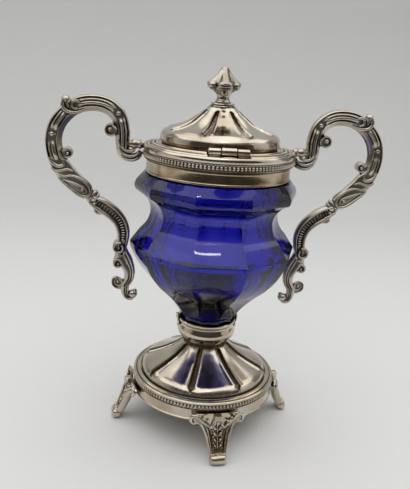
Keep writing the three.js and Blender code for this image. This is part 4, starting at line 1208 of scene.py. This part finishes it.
def paper(name, near, far, wall):
    """Matt seamless paper with painted shade where the lamps' light falls off: darker from the front to the
    back of the floor, and a little darker up its curve than in front. Its fibres are too fine to show, so its
    faint mottle is drawn 2 mm wide."""
    material, tree, output = start_material(name)
    where = add(tree, "ShaderNodeTexCoord").outputs["Object"]
    axes = add(tree, "ShaderNodeSeparateXYZ", {0: where})
    back = add(tree, "ShaderNodeMapRange", {"Value": axes.outputs["Y"], "From Min": 0.0, "From Max": 0.42})
    lift = add(tree, "ShaderNodeMapRange", {"Value": axes.outputs["Z"], "From Min": 0.0, "From Max": 0.35})
    floor = add(tree, "ShaderNodeMix", {0: back.outputs[0], 6: near, 7: far}, data_type="RGBA")
    tone = add(tree, "ShaderNodeMix", {0: lift.outputs[0], 6: floor.outputs[2], 7: wall}, data_type="RGBA")
    fibre = add(tree, "ShaderNodeTexNoise", {"Vector": where, "Scale": scale_of(2), "Detail": 2.0})
    mottle = add(tree, "ShaderNodeMapRange", {"Value": fibre.outputs["Fac"], "To Min": 0.985,
                                              "To Max": 1.015})
    paint = add(tree, "ShaderNodeVectorMath", {0: tone.outputs[2], "Scale": mottle.outputs[0]},
                operation="SCALE")
    shader = add(tree, "ShaderNodeBsdfPrincipled", {"Base Color": paint.outputs[0], "Roughness": 0.9,
                                                    "Specular IOR Level": 0.2})
    tree.links.new(shader.outputs[0], output.inputs["Surface"])
    return material


# The backdrop in m: its front edge, where its curve starts, the curve's radius, its top and half its
# width. It lies a little under the feet.
PAPER_FRONT, PAPER_FLAT, PAPER_CURVE, PAPER_TOP, PAPER_HALF = -0.27, 0.62, 0.30, 1.6, 1.4
PAPER_FLOOR = -0.2 * MM


def build_backdrop():
    """A sheet of paper: flat under the object, curved up behind it."""
    bm = bmesh.new()
    line = [(PAPER_FRONT, PAPER_FLOOR), (PAPER_FLAT, PAPER_FLOOR)]
    for i in range(1, 13):
        angle = math.pi / 2 * i / 12
        line.append((PAPER_FLAT + PAPER_CURVE * math.sin(angle),
                     PAPER_FLOOR + PAPER_CURVE * (1 - math.cos(angle))))
    line.append((PAPER_FLAT + PAPER_CURVE, PAPER_TOP))
    verts = [bm.verts.new((-PAPER_HALF, y, z)) for y, z in line]
    edges = [bm.edges.new(pair) for pair in zip(verts, verts[1:])]
    made = bmesh.ops.extrude_edge_only(bm, edges=edges)["geom"]
    bmesh.ops.translate(bm, verts=[g for g in made if isinstance(g, bmesh.types.BMVert)],
                        vec=(2 * PAPER_HALF, 0, 0))
    for face in bm.faces:
        face.smooth = True
    mesh = bpy.data.meshes.new("paper_backdrop")
    bm.to_mesh(mesh)
    bm.free()
    backdrop = bpy.data.objects.new("paper_backdrop", mesh)
    # Pale in front, darker behind and between the two up the wall: painted light and shade.
    mesh.materials.append(paper("seamless_paper", linear("#E7E8E9"), linear("#CFD0D1"), linear("#DDDEDF")))
    bpy.context.scene.collection.objects.link(backdrop)


# Name, place and size in m, watts and colour.
LAMPS = [
    ("overhead_softbox", (-0.05, 0.06, 1.15), (3.0, 2.2), 21.8, "#FFFDFA"),
    ("ceiling_lamp", (0.02, -0.60, 0.96), (0.16, 0.02), 0.15, "#FFFBF4"),
    ("left_window", (-1.05, -0.10, 0.45), (0.8, 1.0), 0.9, "#F6F8FF"),
    ("right_window", (1.05, -0.25, 0.45), (0.8, 0.9), 1.2, "#FBFAF8")]
LAMPS_AIM = Vector((0, 0, 0.09))


def soft_lamp(name, place, size, power, colour):
    """A rectangle of light turned to the middle of the bowl."""
    data = bpy.data.lights.new(name, "AREA")
    data.shape, data.size, data.size_y = "RECTANGLE", *size
    data.energy, data.color = power, linear(colour)[:3]
    lamp = bpy.data.objects.new(name, data)
    lamp.location = place
    lamp.rotation_euler = (LAMPS_AIM - Vector(place)).to_track_quat("-Z", "Y").to_euler()
    bpy.context.scene.collection.objects.link(lamp)


def room_light(settings):
    """A plain room: pale overhead and dim grey on the camera's side, where it mirrors in the metal."""
    world = bpy.data.worlds.new("room")
    bpy.context.scene.world = world
    world.use_nodes = True
    tree = world.node_tree
    tree.nodes.clear()
    output = add(tree, "ShaderNodeOutputWorld")
    where = add(tree, "ShaderNodeTexCoord").outputs["Generated"]
    axes = add(tree, "ShaderNodeSeparateXYZ", {0: where})
    up = add(tree, "ShaderNodeMapRange", {"Value": axes.outputs["Z"], "From Min": 0.3, "From Max": 0.88},
             interpolation_type="SMOOTHSTEP")
    front = add(tree, "ShaderNodeMapRange", {"Value": axes.outputs["Y"], "From Min": 0.15,
                                             "From Max": -0.45}, interpolation_type="SMOOTHSTEP")
    low = add(tree, "ShaderNodeMix", {0: front.outputs[0], 6: linear("#B4B2AE"), 7: linear("#605D58")},
              data_type="RGBA")
    colour = add(tree, "ShaderNodeMix", {0: up.outputs[0], 6: low.outputs[2], 7: linear("#F1F0EE")},
                 data_type="RGBA")
    light = add(tree, "ShaderNodeBackground", {"Color": colour.outputs[2],
                                               "Strength": settings.room_strength})
    tree.links.new(light.outputs[0], output.inputs["Surface"])


def build_stage(settings):
    """The backdrop, the room, the lamps and the camera."""
    build_backdrop()
    room_light(settings)
    for name, place, size, power, colour in LAMPS:
        soft_lamp(name, place, size, power * settings.lamp_strength, colour)
    place_camera(settings)
    bpy.context.scene.view_settings.view_transform = "Standard"


# Settings, operators and panel

class SugarBowlSettings(bpy.types.PropertyGroup):
    """The sizes, counts and colours that a user would change."""
    facets: IntProperty(name="Glass facets", description="Cut facets round the body", default=10, min=6,
                        max=16)
    flutes: IntProperty(name="Flutes", description="Flutes round the lid and round the foot", default=8,
                        min=4, max=16)
    bead_pitch: FloatProperty(name="Bead pitch", description="Distance from bead to bead on collar and base",
                              default=1.65 * MM, min=1.2 * MM, max=4 * MM, precision=4, unit="LENGTH")
    silver_colour: FloatVectorProperty(name="Silver", description="Colour of polished silver", size=3,
                                       subtype="COLOR", default=linear("#D1C9BA")[:3], min=0, max=1)
    patina_colour: FloatVectorProperty(name="Patina", description="Colour left in the hollows", size=3,
                                       subtype="COLOR", default=linear("#352C22")[:3], min=0, max=1)
    cobalt_colour: FloatVectorProperty(name="Cobalt", description="Colour that the glass lets through",
                                       size=3, subtype="COLOR", default=(0.035, 0.006, 0.835), min=0,
                                       max=1)
    glass_depth: FloatProperty(name="Glass depth", description="How fast the glass takes up light, per metre",
                               default=500.0, min=0)
    lens: FloatProperty(name="Lens", description="Focal length of the camera", subtype="DISTANCE_CAMERA",
                        default=FOCAL_PIXELS / PHOTO_HEIGHT * SENSOR)
    room_strength: FloatProperty(name="Room light", description="Strength of the room's light", default=0.5,
                                 min=0)
    lamp_strength: FloatProperty(name="Lamps", description="Strength of the softboxes", default=1.0, min=0)


def settings_of(context):
    """The scene's sugar bowl settings."""
    return context.scene.sugar_bowl


class SUGARBOWL_OT_glass(bpy.types.Operator):
    """Build the cut body of cobalt glass"""
    bl_idname = "sugar_bowl.glass"
    bl_label = "Glass body"

    def execute(self, context):
        build_bowl(settings_of(context))
        return {"FINISHED"}


class SUGARBOWL_OT_collar(bpy.types.Operator):
    """Build the neck band, the beads and the stepped rim"""
    bl_idname = "sugar_bowl.collar"
    bl_label = "Collar"

    def execute(self, context):
        build_collar(settings_of(context))
        return {"FINISHED"}


class SUGARBOWL_OT_hinge(bpy.types.Operator):
    """Build both leaves of the lid's hinge and its rod"""
    bl_idname = "sugar_bowl.hinge"
    bl_label = "Hinge"

    def execute(self, context):
        build_hinge(settings_of(context))
        return {"FINISHED"}


class SUGARBOWL_OT_handles(bpy.types.Operator):
    """Build the two scroll handles"""
    bl_idname = "sugar_bowl.handles"
    bl_label = "Handles"

    def execute(self, context):
        build_handles(settings_of(context))
        return {"FINISHED"}


class SUGARBOWL_OT_cup(bpy.types.Operator):
    """Build the cup that holds the glass body's peg"""
    bl_idname = "sugar_bowl.cup"
    bl_label = "Cup"

    def execute(self, context):
        build_cup(settings_of(context))
        return {"FINISHED"}


class SUGARBOWL_OT_foot(bpy.types.Operator):
    """Build the fluted dome of the foot"""
    bl_idname = "sugar_bowl.foot"
    bl_label = "Foot"

    def execute(self, context):
        build_foot(settings_of(context))
        return {"FINISHED"}


class SUGARBOWL_OT_base(bpy.types.Operator):
    """Build the base's moulding, beads and skirt"""
    bl_idname = "sugar_bowl.base"
    bl_label = "Base"

    def execute(self, context):
        build_base(settings_of(context))
        return {"FINISHED"}


class SUGARBOWL_OT_legs(bpy.types.Operator):
    """Build the four legs"""
    bl_idname = "sugar_bowl.legs"
    bl_label = "Legs"

    def execute(self, context):
        build_legs(settings_of(context))
        return {"FINISHED"}


class SUGARBOWL_OT_lid(bpy.types.Operator):
    """Build the fluted lid and its bezel"""
    bl_idname = "sugar_bowl.lid"
    bl_label = "Lid"

    def execute(self, context):
        build_lid(settings_of(context))
        return {"FINISHED"}


class SUGARBOWL_OT_finial(bpy.types.Operator):
    """Build the bud finial and its collar"""
    bl_idname = "sugar_bowl.finial"
    bl_label = "Finial"

    def execute(self, context):
        build_finial(settings_of(context))
        return {"FINISHED"}


class SUGARBOWL_OT_fittings(bpy.types.Operator):
    """Finish the hidden bedding, rod, washer and nuts"""
    bl_idname = "sugar_bowl.fittings"
    bl_label = "Hidden fittings"

    def execute(self, context):
        dress_fittings(settings_of(context))
        return {"FINISHED"}


class SUGARBOWL_OT_stage(bpy.types.Operator):
    """Set up the backdrop, the lamps and the camera"""
    bl_idname = "sugar_bowl.stage"
    bl_label = "Stage"

    def execute(self, context):
        build_stage(settings_of(context))
        return {"FINISHED"}


OPERATORS = (SUGARBOWL_OT_glass, SUGARBOWL_OT_collar, SUGARBOWL_OT_hinge, SUGARBOWL_OT_handles,
             SUGARBOWL_OT_cup, SUGARBOWL_OT_foot, SUGARBOWL_OT_base, SUGARBOWL_OT_legs, SUGARBOWL_OT_lid,
             SUGARBOWL_OT_finial, SUGARBOWL_OT_fittings, SUGARBOWL_OT_stage)


class VIEW3D_PT_sugar_bowl(bpy.types.Panel):
    """The sugar bowl's settings and its pieces"""
    bl_label = "Sugar bowl"
    bl_space_type = "VIEW_3D"
    bl_region_type = "UI"
    bl_category = "Sugar bowl"

    def draw(self, context):
        settings = settings_of(context)
        for name in settings.bl_rna.properties.keys():
            if name not in ("rna_type", "name"):
                self.layout.prop(settings, name)
        for operator in OPERATORS:
            self.layout.operator(operator.bl_idname)


CLASSES = (SugarBowlSettings, *OPERATORS, VIEW3D_PT_sugar_bowl)


def register():
    for cls in CLASSES:
        bpy.utils.register_class(cls)
    bpy.types.Scene.sugar_bowl = PointerProperty(type=SugarBowlSettings)


def unregister():
    del bpy.types.Scene.sugar_bowl
    for cls in reversed(CLASSES):
        bpy.utils.unregister_class(cls)


def main():
    register()
    for operator in OPERATORS:
        getattr(bpy.ops.sugar_bowl, operator.bl_idname.split(".")[1])()


if __name__ == "__main__":
    main()
